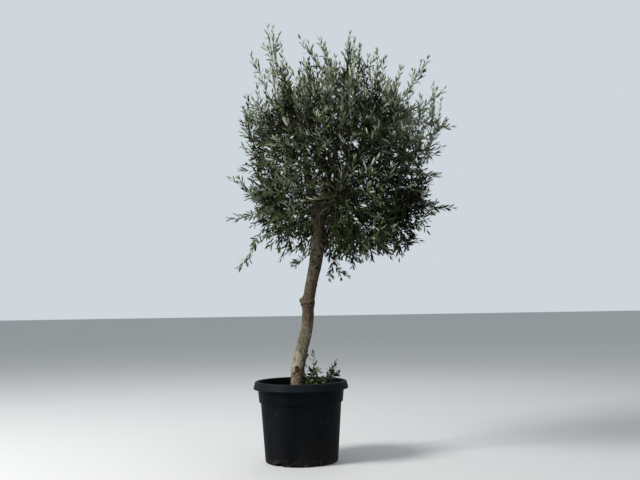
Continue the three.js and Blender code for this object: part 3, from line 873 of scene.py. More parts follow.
@dataclass(frozen=True)
class BarkFinish:
    """Olive bark: pale and streaked below, brown at the foot, dark and reddish up in the crown, with painted
    shade in a band at mid height and on the side turned away from the key light.
    """

    name: str
    pale: Colour = (0.215, 0.19, 0.128, 1)
    grey: Colour = (0.085, 0.072, 0.045, 1)
    shaded: Colour = (0.055, 0.041, 0.021, 1)
    # Painted shade: the colour of the side turned away from the key light.
    shade_side: Colour = (0.018, 0.0145, 0.0095, 1)
    crevice: Colour = (0.016, 0.012, 0.008, 1)
    foot: Colour = (0.1, 0.056, 0.026, 1)
    knot: Colour = (0.032, 0.017, 0.0085, 1)
    crown: Colour = (0.052, 0.031, 0.018, 1)
    scar: Colour = (0.009, 0.005, 0.004, 1)
    roughness: float = 0.86

    def make(self) -> Material:
        """Makes the material.

        Returns:
            The material.
        """
        recipe = Recipe(self.name)
        mix, noise, between = recipe.mix, recipe.noise, recipe.between
        height = recipe.height()
        patches = between(noise(14, (1, 1, 0.45)), 0.42, 0.62)
        colour = mix(patches, self.pale, self.grey)
        shaded = between(height + noise(6) * 0.1, 0.58, 0.72)
        shaded = shaded * (1 - between(height, 0.8, 0.9))
        colour = mix(shaded, colour, self.shaded)
        foot = 1 - between(height + noise(25) * 0.06, 0.4, 0.49)
        colour = mix(foot * between(noise(30), 0.25, 0.6) * 0.8, colour, self.foot)
        crown = between(height + noise(9) * 0.16, 1.06, 1.2)
        colour = mix(crown * 0.85, colour, self.crown)
        streaks = noise(120, (1, 1, 0.2), 5)
        colour = mix(between(streaks, 0.5, 0.72) * 0.6, colour, self.crevice)
        specks = noise(150, (1, 1, 0.75), 4)
        colour = mix(between(specks, 0.52, 0.62) * 0.7, colour, self.crevice)
        # Painted shade: the side facing +X, away from the key light, darkens in broken patches.
        shade_side = between(recipe.facing((0.94, 0.28, -0.2)) + noise(45) * 0.5, 0.66, 0.98)
        broken = between(noise(20, (1, 1, 0.6)), 0.4, 0.52)
        colour = mix(shade_side * (0.45 + broken * 0.5), colour, self.shade_side)
        mark = recipe.add("ShaderNodeAttribute", {"attribute_name": "scar"}, {}, "Fac")
        scar = mark * (0.4 + noise(70, (1, 1, 1), 4) * 1.1)
        colour = mix(between(scar, 0.02, 0.3) * 0.85, colour, self.knot)
        colour = mix(between(scar, 0.35, 0.85), colour, self.scar)
        relief = streaks * 0.4 + specks * 0.4 + noise(420, (1, 1, 0.5), 3) * 0.3
        return recipe.finish(colour, self.roughness, 0.25, Normal=recipe.bump(relief, 0.9, 0.0034))


@dataclass(frozen=True)
class TwigFinish:
    """Young bark on twigs: pale grey-brown, with a little green."""

    name: str
    pale: Colour = (0.12, 0.112, 0.074, 1)
    dark: Colour = (0.04, 0.036, 0.023, 1)

    def make(self) -> Material:
        """Makes the material.

        Returns:
            The material.
        """
        recipe = Recipe(self.name)
        patches = recipe.between(recipe.noise(22), 0.35, 0.65)
        return recipe.finish(recipe.mix(patches, self.pale, self.dark), 0.75, 0.3)


@dataclass(frozen=True)
class LeafFinish:
    """One plain tone of leaf, as leaf pieces take it spray by spray."""

    name: str
    colour: Colour
    roughness: float
    shine: float

    def make(self) -> Material:
        """Makes the material."""
        return Recipe(self.name).finish(self.colour, self.roughness, self.shine)


@dataclass(frozen=True)
class ContainerFinish:
    """Black moulded plastic with a satin skin, faint pale scuffs, dust towards its foot, and a lip lightened
    by a painted sheen.
    """

    name: str
    black: Colour = (0.0008, 0.0015, 0.0028, 1)
    worn: Colour = (0.0032, 0.0041, 0.0051, 1)
    scuff: Colour = (0.07, 0.073, 0.075, 1)
    earth: Colour = (0.012, 0.0095, 0.0075, 1)
    dust: Colour = (0.075, 0.066, 0.052, 1)
    # Painted sheen: the lighter colour of the lip.
    lip: Colour = (0.0068, 0.0092, 0.0118, 1)

    def make(self) -> Material:
        """Makes the material.

        Returns:
            The material.
        """
        recipe = Recipe(self.name)
        mix, noise, between = recipe.mix, recipe.noise, recipe.between
        height = recipe.height()
        colour = mix(between(noise(7, (1, 1, 0.6)), 0.35, 0.7), self.black, self.worn)
        # Painted sheen: the lip, above the cuff, takes a lighter colour.
        colour = mix(between(height, 0.328, 0.336) * 0.55, colour, self.lip)
        earth = (1 - between(height, 0.01, 0.17)) * between(noise(5), 0.38, 0.6)
        colour = mix(earth * 0.45, colour, self.earth)
        scratches = between(noise(110, (1.2, 1.2, 0.7), 5), 0.6, 0.7)
        patches = between(noise(13), 0.5, 0.58)
        band = between(height, 0.1, 0.17) * (1 - between(height, 0.23, 0.27))
        scuffs = scratches * patches * band
        colour = mix(scuffs * 0.28, colour, self.scuff)
        splash = between(noise(45, (1, 1, 1), 5), 0.42, 0.68)
        dust = splash * (1 - between(height + noise(9) * 0.03, 0.012, 0.055))
        colour = mix(dust * 0.4, colour, self.dust)
        grain = recipe.bump(noise(900, (1, 1, 1), 2), 0.22, 0.0006)
        roughness = 0.5 + noise(25) * 0.16 + scuffs * 0.2 + dust * 0.25
        return recipe.finish(colour, roughness, 0.05, Normal=grain)


@dataclass(frozen=True)
class SoilFinish:
    """Moist potting soil with bark crumbs."""

    name: str
    dark: Colour = (0.012, 0.0085, 0.006, 1)
    brown: Colour = (0.05, 0.032, 0.02, 1)

    def make(self) -> Material:
        """Makes the material.

        Returns:
            The material.
        """
        recipe = Recipe(self.name)
        grains = recipe.noise(260, (1, 1, 1), 5)
        colour = recipe.mix(recipe.between(grains, 0.42, 0.68), self.dark, self.brown)
        return recipe.finish(colour, 0.93, 0.2, Normal=recipe.bump(grains, 0.8, 0.003))


class LeafTone(IntEnum):
    """The tones a spray can have, and their undersides. In the crown they are painted light and shade: deep
    shade inside, up to the lightest tone for young tips where painted light falls.
    """

    DEEP = 0
    OLIVE = 1
    SAGE = 2
    FRESH = 3
    UNDER_SHADED = 4
    UNDER_SILVER = 5


LEAF_FINISHES = {
    # Deep shade is painted shade for sprays inside the crown; fresh and lit is young growth and painted
    # light.
    LeafTone.DEEP: LeafFinish("leaf_deep_shade", (0.0042, 0.007, 0.0019, 1), 0.5, 0.02),
    LeafTone.OLIVE: LeafFinish("leaf_olive", (0.0215, 0.0315, 0.0085, 1), 0.5, 0.07),
    LeafTone.SAGE: LeafFinish("leaf_sage", (0.04, 0.055, 0.0175, 1), 0.48, 0.22),
    LeafTone.FRESH: LeafFinish("leaf_fresh_and_lit", (0.09, 0.116, 0.038, 1), 0.48, 0.35),
    LeafTone.UNDER_SHADED: LeafFinish("leaf_underside_shaded", (0.02, 0.0245, 0.0135, 1), 0.7, 0.02),
    LeafTone.UNDER_SILVER: LeafFinish("leaf_underside_silver", (0.25, 0.275, 0.195, 1), 0.7, 0.15),
}


class Shape:
    """Corners and triangles gathered for one joined mesh."""

    def __init__(self) -> None:
        """Starts empty."""
        self.corners: list[Array] = []
        self.faces: list[Array] = []
        self.slots: list[Array] = []
        self.marks: list[Array] = []
        self.count = 0

    def add(self, corners: Array, faces: Array, slot: int | Array = 0,
            marks: Array | None = None) -> None:
        """Adds corners and the triangles between them.

        Args:
            corners: Rows of points in millimetres.
            faces: Rows of three corner numbers.
            slot: The material slot, or one for each face.
            marks: A number from 0 to 1 for each corner, for a finish to read.
        """
        self.corners.append(corners)
        self.faces.append(faces + self.count)
        self.slots.append(np.broadcast_to(slot, len(faces)))
        self.marks.append(np.zeros(len(corners)) if marks is None else marks)
        self.count += len(corners)

    def add_rings(self, rings: Array, slot: int = 0, marks: Array | None = None,
                  closed_end: bool = False) -> None:
        """Adds a skin over rings of corners.

        Args:
            rings: Points by ring and then round the ring.
            slot: The material slot.
            marks: A number for each point.
            closed_end: Whether the last ring is closed with a point in its middle.
        """
        count, sides = rings.shape[:2]
        low = (np.arange(count - 1)[:, None] * sides + np.arange(sides)).ravel()
        turn = (np.arange(count - 1)[:, None] * sides + (np.arange(sides) + 1) % sides).ravel()
        faces = np.column_stack([low, turn, turn + sides, low, turn + sides, low + sides])
        faces = np.vstack([faces[:, :3], faces[:, 3:]])
        marks = np.zeros((count, sides)) if marks is None else marks
        corners, flat_marks = rings.reshape(-1, 3), marks.ravel()
        if closed_end:
            last = (count - 1) * sides + np.arange(sides)
            cap = np.column_stack([last, np.roll(last, -1), np.full(sides, count * sides)])
            faces = np.vstack([faces, cap])
            corners = np.vstack([corners, rings[-1].mean(axis=0)])
            flat_marks = np.append(flat_marks, marks[-1].mean())
        self.add(corners, faces, slot, flat_marks)

    def add_tube(self, points: Array, radii: Array, sides: int) -> None:
        """Adds a tube along points, closed at its end, with a radius at each and a number of sides."""
        angles = -np.arange(sides) * TURN / sides
        self.add_rings(points[:, None] + to_skin(points, angles) * radii[:, None, None], closed_end=True)

    def to_piece(self, name: str, materials: list[Material], slot: str, nodes: list[str],
                 sharp: float | None = None) -> Piece:
        """Makes the joined mesh as a piece that rides on the tree's one body.

        Args:
            name: The piece's name.
            materials: Its materials, by slot.
            slot: The record's material slot for its finish. It is not used.
            nodes: The nodes of the solids that it stands for.
            sharp: The angle in degrees above which an edge stays sharp, or None for all smooth.

        Returns:
            The piece.
        """
        mesh = bpy.data.meshes.new(name)
        mesh.from_pydata(np.vstack(self.corners) * METRES, [], np.vstack(self.faces), shade_flat=False)
        mesh.polygons.foreach_set("material_index", np.concatenate(self.slots).astype(np.int32))
        marks = np.concatenate(self.marks)
        if marks.any():
            attribute = mesh.attributes.new("scar", "FLOAT", "POINT")
            attribute.data.foreach_set("value", marks.astype(np.float32))
        mesh.update()
        if sharp is not None:
            mesh.set_sharp_from_angle(angle=math.radians(sharp))
        for material in materials:
            mesh.materials.append(material)
        piece = bpy.data.objects.new(name, mesh)
        bpy.context.scene.collection.objects.link(piece)
        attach(piece, "root")
        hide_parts(*nodes)
        return piece


class Ripple:
    """Smooth seeded noise over the skin of a limb, which meets itself round the girth."""

    def __init__(self, seed: int, around: int, along: int) -> None:
        """Draws the noise's grid: cells round the girth and cells along the limb."""
        self.grid = np.random.default_rng(seed).random((along + 2, around))

    def at(self, turns: Array, shares: Array) -> Array:
        """The noise from −1 to 1.

        Args:
            turns: Places round the girth, from 0 to 1.
            shares: Places along the limb, from 0 to 1.

        Returns:
            The noise at each place.
        """
        rows, columns = self.grid.shape
        across = (turns % 1.0) * columns
        upward = np.clip(shares, 0, 1) * (rows - 2)
        column = np.floor(across).astype(int) % columns
        row = np.floor(upward).astype(int)
        part_across = across - np.floor(across)
        part_upward = upward - row
        part_across = part_across**2 * (3 - 2 * part_across)
        part_upward = part_upward**2 * (3 - 2 * part_upward)
        beside = (column + 1) % columns
        low, high = (
            self.grid[level, column] * (1 - part_across) + self.grid[level, beside] * part_across
            for level in (row, row + 1)
        )
        return 2 * (low * (1 - part_upward) + high * part_upward) - 1


@dataclass(frozen=True)
class Scar:
    """A dark mark in the bark: its height, bearing from +X in degrees, half width, half height and collar."""

    height: float
    bearing: float
    width: float
    tall: float
    collar: float = 1.1

    def distance(self, radius: Array, heights: Array, angle: Array) -> Array:
        """How far corners of the trunk are from the scar's middle: 1 at its edge."""
        around = (angle - math.radians(self.bearing) + math.pi) % TURN - math.pi
        return np.hypot(around * radius / self.width, (heights - self.height) / self.tall)


BARK_SCARS = tuple(
    Scar(*row)
    for row in (
        (966, -108, 8, 7), (935, -67, 9, 9), (912, -117, 6, 8), (882, -64, 11, 11, 1.8),
        (854, -104, 10, 6), (824, -98, 10, 6), (782, -150, 8, 7), (766, -120, 11, 6),
        (714, -62, 24, 11, 2.4), (717, -108, 17, 8, 2), (713, -152, 16, 8, 1.6), (652, -121, 5, 6),
        (545, -125, 6, 5), (426, -96, 15, 13, 1.6), (417, -84, 14, 12, 1.2), (410, -93, 13, 9, 1),
        (399, -116, 12, 7, 1.6),
    )
)

BARK_SWELLINGS = tuple(
    Scar(*row)
    for row in (
        (731, 176, 24, 22, 9), (728, -40, 24, 17, 2.5), (905, 250, 16, 20, 3), (415, -95, 20, 26, 3.5),
        (478, -5, 8, 12, 3),
    )
)


@dataclass
class Wood:
    """The trunk and boughs with the relief of their bark."""

    rule: GrowthRule
    trunk_sides: int = 72
    trunk_rings: int = 330
    bough_sides: int = 18
    bough_ring_gap: float = 6
    trunk_relief: tuple[Relief, ...] = ((11, 5, 16, 1.7), (13, 34, 90, 0.75), (14, 60, 240, 0.4))
    twist: float = 0.12
    twist_waves: float = 5
    ridge_grid: tuple[int, int, int] = (12, 16, 22)
    ridge_depth: float = 1.6
    ridge_rise: float = 0.6
    collar_place: float = 1.1
    collar_tightness: float = 5
    pit_tightness: float = 2.2
    pit_darkness: float = 1.6
    pit_edge: float = 0.25
    scar_seed: int = 41
    scar_count: int = 46
    scar_radii: Pair = (2.5, 6.5)
    scar_heights: Pair = (400, 1150)
    scar_tallness: float = 0.8
    lump_rises: Pair = (1.1, 0.5)
    knot_start: float = 0.55
    knot_rise: float = 5
    knot_mark: float = 0.6
    flare_run: float = 26
    flare_share: float = 0.55
    dome: tuple[Pair, ...] = ((0.93, 4.9), (0.75, 9.1), (0.5, 12.04), (0.25, 13.44))
    snag_shares: tuple[float, ...] = (0.3, 0.72, 0.86, 0.94, 0.985, 1.0, 1.0, 0.985)
    snag_sizes: tuple[float, ...] = (1.885, 1.56, 1.274, 1.17, 1.118, 0.962, 0.715, 0.455)
    snag_sides: int = 16
    snag_rise: float = 0.6
    snag_cut: Pair = (0.95, 0.7)

    def build(self) -> list[Piece]:
        """Builds the bark pieces.

        Returns:
            The pieces.
        """
        finish = [BarkFinish("bark_olive").make()]
        trunk = self.trunk_shape().to_piece("trunk_bark", finish, "bark", ["trunk"])
        nodes = [f"bough_{mass.name}" for mass in self.rule.masses if mass.bough]
        return [trunk, self.bough_shape().to_piece("bough_bark", finish, "bark", nodes)]

    def trunk_shape(self) -> Shape:
        """The trunk: level rings with lumps, ridges, plates, scars and snags.

        Returns:
            The shape.
        """
        trunk = self.rule.trunk
        shares = np.linspace(0, 1, self.trunk_rings)
        turns = np.arange(self.trunk_sides) / self.trunk_sides
        share, turn = np.meshgrid(shares, turns, indexing="ij")
        angle = turn * TURN
        centres = trunk.line.points(shares)[:, None]
        heights = np.broadcast_to(centres[..., 2], share.shape)
        twist = turn + self.twist * np.sin(share * self.twist_waves)
        relief = sum(Ripple(*grid).at(twist, share) * depth for *grid, depth in self.trunk_relief)
        relief += self.ridge_rise - np.abs(Ripple(*self.ridge_grid).at(twist, share)) * self.ridge_depth
        radius = trunk.girth.points(shares)[:, None, 0] * trunk.lobe(heights, angle)
        marks = np.zeros_like(radius)
        radius = radius + relief
        for swelling in BARK_SWELLINGS:
            distance = swelling.distance(radius, heights, angle)
            radius = radius + swelling.collar * np.exp(-(distance**2))
        for scar in (*map(self.snag_scar, trunk.snags), *BARK_SCARS, *self.small_scars()):
            distance = scar.distance(radius, heights, angle)
            ring = np.exp(-((distance - self.collar_place) ** 2) * self.collar_tightness)
            pit = np.exp(-(distance**2) * self.pit_tightness)
            radius = radius + (ring - pit) * scar.collar
            marks = np.maximum(marks, np.clip(self.pit_darkness * pit - self.pit_edge, 0, 1))
        around = np.stack([np.cos(angle), np.sin(angle), np.zeros_like(angle)], axis=2)
        rings = centres + around * radius[..., None]
        shape = Shape()
        top = [centres[-1] + (rings[-1] - centres[-1]) * size + UP * rise for size, rise in self.dome]
        rings = np.concatenate([rings, np.array(top)])
        marks = np.concatenate([marks, np.repeat(marks[-1:], len(top), axis=0)])
        shape.add_rings(rings, marks=marks, closed_end=True)
        for index, snag in enumerate(trunk.snags):
            self.add_snag(shape, snag, index)
        return shape

    def small_scars(self) -> list[Scar]:
        """Small dark leaf and twig scars scattered over the trunk.

        Returns:
            The scars.
        """
        random = np.random.default_rng(self.scar_seed)
        scars = []
        for _ in range(self.scar_count):
            height = random.uniform(*self.scar_heights)
            bearing = random.uniform(-180, 180)
            size = random.uniform(*self.scar_radii)
            scars.append(Scar(height, bearing, size, self.scar_tallness * size))
        return scars

    def snag_scar(self, snag: Snag) -> Scar:
        """The collar of bark round a snag."""
        return Scar(snag.height, snag.bearing, 1.5 * snag.radius, 1.9 * snag.radius, 3.2)

    def add_snag(self, shape: Shape, snag: Snag, index: int) -> None:
        """Adds a pruned snag: a short stub with a rounded rim and a cut end.

        Args:
            shape: The shape that it joins.
            snag: Its place and size.
            index: Its number, for the ripple of its rim.
        """
        start = self.rule.trunk.centre(snag.height)
        reach = self.rule.trunk.radius(snag.height) + snag.length
        end = start + outward(math.radians(snag.bearing)) * reach + UP * self.snag_rise * snag.radius
        points = start + (end - start) * np.array(self.snag_shares)[:, None]
        ripple = np.random.default_rng(60 + index).uniform(0.92, 1.08, len(points))
        tube = Shape()
        tube.add_tube(points, snag.radius * np.array(self.snag_sizes) * ripple, self.snag_sides)
        corners = np.vstack(tube.corners)
        along = (corners - start) @ unit(end - start) / np.linalg.norm(end - start)
        off_axis = np.linalg.norm(corners - start - (end - start) * along[:, None], axis=1)
        cut = (along > self.snag_cut[0]) & (off_axis < self.snag_cut[1] * snag.radius)
        shape.add(corners, np.vstack(tube.faces), 0, cut * 0.75)

    def bough_shape(self) -> Shape:
        """The boughs: tapering limbs with lumps and knots, that swell where they leave the trunk.

        Returns:
            The shape.
        """
        shape = Shape()
        turns = np.arange(self.bough_sides) / self.bough_sides
        for mass in [mass for mass in self.rule.masses if mass.bough]:
            bough, seed = mass.bough, mass.seed
            count = int(bough.line.span() / self.bough_ring_gap)
            cells = max(4, count // 4)
            shares = np.linspace(0, 1, count)
            points = bough.line.points(shares)
            fade = np.exp(-shares * bough.line.span() / self.flare_run)
            radii = bough.radius(shares) + fade * self.flare_share * bough.root
            share, turn = np.meshgrid(shares, turns, indexing="ij")
            lumps = Ripple(seed, 4, cells).at(turn, share) * self.lump_rises[0]
            lumps = lumps + Ripple(seed + 1, 9, 3 * cells).at(turn, share) * self.lump_rises[1]
            knots = Ripple(seed + 2, 3, max(3, cells // 2)).at(turn, share)
            knots = np.maximum(0, knots - self.knot_start) * self.knot_rise
            reach = radii[:, None] + lumps + knots
            rings = points[:, None] + to_skin(points, -turns * TURN) * reach[..., None]
            marks = np.clip(knots - self.knot_mark, 0, 1) * self.knot_mark
            shape.add_rings(rings, marks=marks, closed_end=True)
        return shape


class Leaf(NamedTuple):
    """A real leaf of a mass.

    Its size is its length, its width and how far its tip bends back as a share of the length. A free leaf
    may stand outside the crown's outline.
    """

    root: Array
    direction: Array
    face_up: Array
    size: Point
    tone: LeafTone
    free: bool


@dataclass(frozen=True)
class Blade:
    """The form of every leaf: a folded blade of a few faces, with an upper and an under side."""

    stations: tuple[Pair, ...] = ((0.16, 0.55), (0.45, 1.0), (0.78, 0.72))
    fold: float = 0.16
    thickness: float = 0.7

    def template(self) -> tuple[Array, Array]:
        """One blade, from its root to its tip.

        Returns:
            Its corners, as share along, share across and fold, and its triangles.
        """
        corners = [(0.0, 0.0, 0.0)]
        for along, width in self.stations:
            corners.extend([(along, -width, width), (along, 0.0, 0.0), (along, width, width)])
        tip = len(corners)
        corners.append((1.0, 0.0, 0.0))
        faces = [(0, 2, 1), (0, 3, 2)]
        for low in range(1, tip - 3, 3):
            for here in (low, low + 1):
                faces.extend([(here, here + 1, here + 4), (here, here + 4, here + 3)])
        faces.extend([(tip - 3, tip - 2, tip), (tip - 2, tip - 1, tip)])
        return np.array(corners), np.array(faces)

    def join(self, leaves: list[Leaf], keep: Array) -> Shape:
        """Joins leaves into one shape.

        Args:
            leaves: The leaves of a mass.
            keep: Which of them to keep.

        Returns:
            The shape.
        """
        corners, faces = self.template()
        roots, directions, faces_up, sizes, tones, _ = (np.array(column)[keep] for column in zip(*leaves))
        length, width, curl = sizes.T
        faces_up = unit(faces_up - directions * np.sum(directions * faces_up, axis=1, keepdims=True))
        across = np.cross(faces_up, directions)[:, None]
        along = corners[None, :, 0:1]
        blade = roots[:, None] + directions[:, None] * along * length[:, None, None]
        blade = blade + across * corners[None, :, 1:2] * width[:, None, None] / 2
        drop = curl[:, None] * length[:, None] * along[..., 0] ** 2
        rise = corners[None, :, 2] * width[:, None] / 2 * self.fold - drop
        upper = blade + faces_up[:, None] * rise[..., None]
        under = upper - faces_up[:, None] * (1 - np.abs(2 * along - 1)) * self.thickness
        offsets = (np.arange(len(tones)) * len(corners))[:, None, None]
        joined = (faces[None] + offsets).reshape(-1, 3)
        under_tones = np.where(tones <= LeafTone.OLIVE, LeafTone.UNDER_SHADED, LeafTone.UNDER_SILVER)
        shape = Shape()
        shape.add(upper.reshape(-1, 3), joined, np.repeat(tones, len(faces)))
        shape.add(under.reshape(-1, 3), joined[:, ::-1], np.repeat(under_tones, len(faces)))
        return shape


# Places where the sky shows through the crown: across, height and radius on the tree's plane.
SKY_GAPS = (
    (277, 1465, 19), (206, 1403, 14), (138, 1287, 16), (313, 1280, 12), (230, 1222, 12),
    (194, 1168, 21), (303, 1174, 14), (-10, 1604, 14), (-69, 1510, 16), (-129, 1448, 14),
    (67, 1508, 9), (-5, 1406, 9), (-63, 1094, 16), (-109, 1165, 14), (-148, 1127, 16),
    (-16, 1140, 14), (22, 1093, 14), (-49, 1008, 14), (-111, 1025, 14), (-7, 1203, 12),
    (-188, 1073, 19), (31, 1163, 14), (155, 1130, 16), (217, 1129, 12), (349, 1142, 9),
)


@dataclass(frozen=True)
class Viewpoint:
    """Where the tree is seen from, in millimetres and degrees."""

    place: Point = (96.6, -3710.5, 704)
    pitch: float = 2.942
    roll: float = 0.9
    lens: float = 45
    sensor: float = 36
    shift: float = 0.04

    def add_camera(self) -> None:
        """Adds the camera."""
        data = bpy.data.cameras.new("viewpoint")
        data.lens = self.lens
        data.sensor_width = self.sensor
        data.shift_y = self.shift
        camera = bpy.data.objects.new("viewpoint", data)
        tilt = Matrix.Rotation(math.radians(90 + self.pitch), 4, "X")
        roll = Matrix.Rotation(math.radians(-self.roll), 4, "Z")
        camera.matrix_world = Matrix.Translation(Vector(self.place) * METRES) @ tilt @ roll
        bpy.context.scene.collection.objects.link(camera)
        bpy.context.scene.camera = camera


@dataclass(frozen=True)
class ShootHabit:
    """How fine shoots and their leaves grow: sizes in millimetres and leans in degrees.

    Lift and sweep are given for the crown's foot and its top, as shares of a shoot's length. The turn and
    the lean of a leaf spread in radians, and what else spreads, swells, tapers or bends does so in shares.
    """

    leaf_length: Pair = (32, 49)
    leaf_slimness: float = 0.22
    pair_gap: float = 15.5
    bare: float = 0.14
    leans: Pair = (50, 22)
    radii: Pair = (1.5, 0.6)
    lift: Pair = (-0.1, 0.26)
    sweep: Pair = (-0.04, 0.2)
    fullness: float = 0.78
    swell: float = 0.22
    swell_start: float = 0.25
    taper: float = 0.25
    taper_start: float = 0.75
    turn_spread: float = 0.25
    lean_spread: float = 0.16
    width_spread: Pair = (0.85, 1.12)
    face_lift: float = 0.7
    face_spread: float = 0.42
    bend: Pair = (-0.04, 0.14)
    end_size: float = 0.7
    end_width: float = 0.9
    end_spread: float = 0.4
    end_bend: float = 0.05


CROWN_HABIT = ShootHabit()
LONG_HABIT = ShootHabit((32, 46), 0.235, 19, leans=(44, 22))
ARCHING_HABIT = ShootHabit(pair_gap=18, bare=0.42, leans=(46, 22), radii=(2.3, 0.8))
SPRIG_HABIT = ShootHabit((28, 40), 0.24, 17, 0.05, radii=(1.2, 0.5), lift=(0.0, 0.0))
BASAL_HABIT = ShootHabit((22, 35), 0.36, 11, 0.05, radii=(1.0, 0.4), lift=(0.1, 0.1))
TIP_HABIT = ShootHabit((24, 33), 0.36, 15, 0.1, (50, 25), (1.2, 0.5), (0.0, 0.0))
HABITS = {Origin.BOUGH: CROWN_HABIT, Origin.TRUNK: SPRIG_HABIT, Origin.SOIL: BASAL_HABIT}

LEADER_TIPS = (
    (-104, -80, 1985), (-65, -60, 1902), (-118, 20, 1880), (-148, 60, 1747), (-176, -120, 1692),
    (-223, -30, 1683), (-253, 50, 1644), (-42, -90, 1807), (15, 80, 1815), (58, -200, 1757),
    (60, -20, 1850), (145, -150, 1828), (181, -60, 1850), (268, -120, 1919), (300, 30, 1925),
    (378, -20, 1893), (334, -180, 1743), (411, -140, 1700), (464, -60, 1714), (526, 60, 1700),
    (574, -30, 1665), (648, 40, 1739), (666, -60, 1641), (-60, 190, 1790), (30, 260, 1860),
    (90, 170, 1905), (140, 330, 1760), (210, 220, 1900), (290, 310, 1790), (330, 190, 1860),
    (420, 240, 1800), (480, 150, 1760), (-150, 180, 1700), (240, -300, 1720), (20, -310, 1700),
    (430, -260, 1660),
)


@dataclass(frozen=True)
class Unevenness:
    """How the crown's outline swells and dips from one direction to the next.

    The front's shares go round anticlockwise from +X, as the crown is seen from the front.
    """

    seed: int = 314
    waves: int = 10
    mean: float = 0.925
    swing: float = 0.06
    rates: Pair = (4, 10)
    front: tuple[float, ...] = (
        1.1, 1.12, 0.92, 0.85, 0.79, 0.95, 0.97, 0.86, 0.98, 0.89, 0.96, 1.01,
        1.03, 1.04, 1.09, 1.09, 1.13, 1.07, 1.09, 1.15, 1.15, 1.12, 1.1, 1.1,
    )

    def limit(self, offsets: Array) -> Array:
        """The share of the outline that the crown fills.

        Args:
            offsets: Rows of offsets from the crown's centre.

        Returns:
            The share in the direction of each offset.
        """
        random = np.random.default_rng(self.seed)
        directions = unit(offsets)
        total = np.zeros(len(offsets))
        for _ in range(self.waves):
            axis = unit(random.normal(0, 1, 3))
            total += np.sin(directions @ axis * random.uniform(*self.rates) + random.uniform(0, TURN))
        uneven = self.mean + self.swing * total / math.sqrt(self.waves / 2)
        steps = len(self.front)
        bearing = np.arctan2(directions[:, 2], directions[:, 0]) / TURN * steps
        front = np.interp(bearing % steps, np.arange(steps + 1), (*self.front, self.front[0]))
        return uneven * (1 + (front - 1) * (1 - directions[:, 1] ** 2))


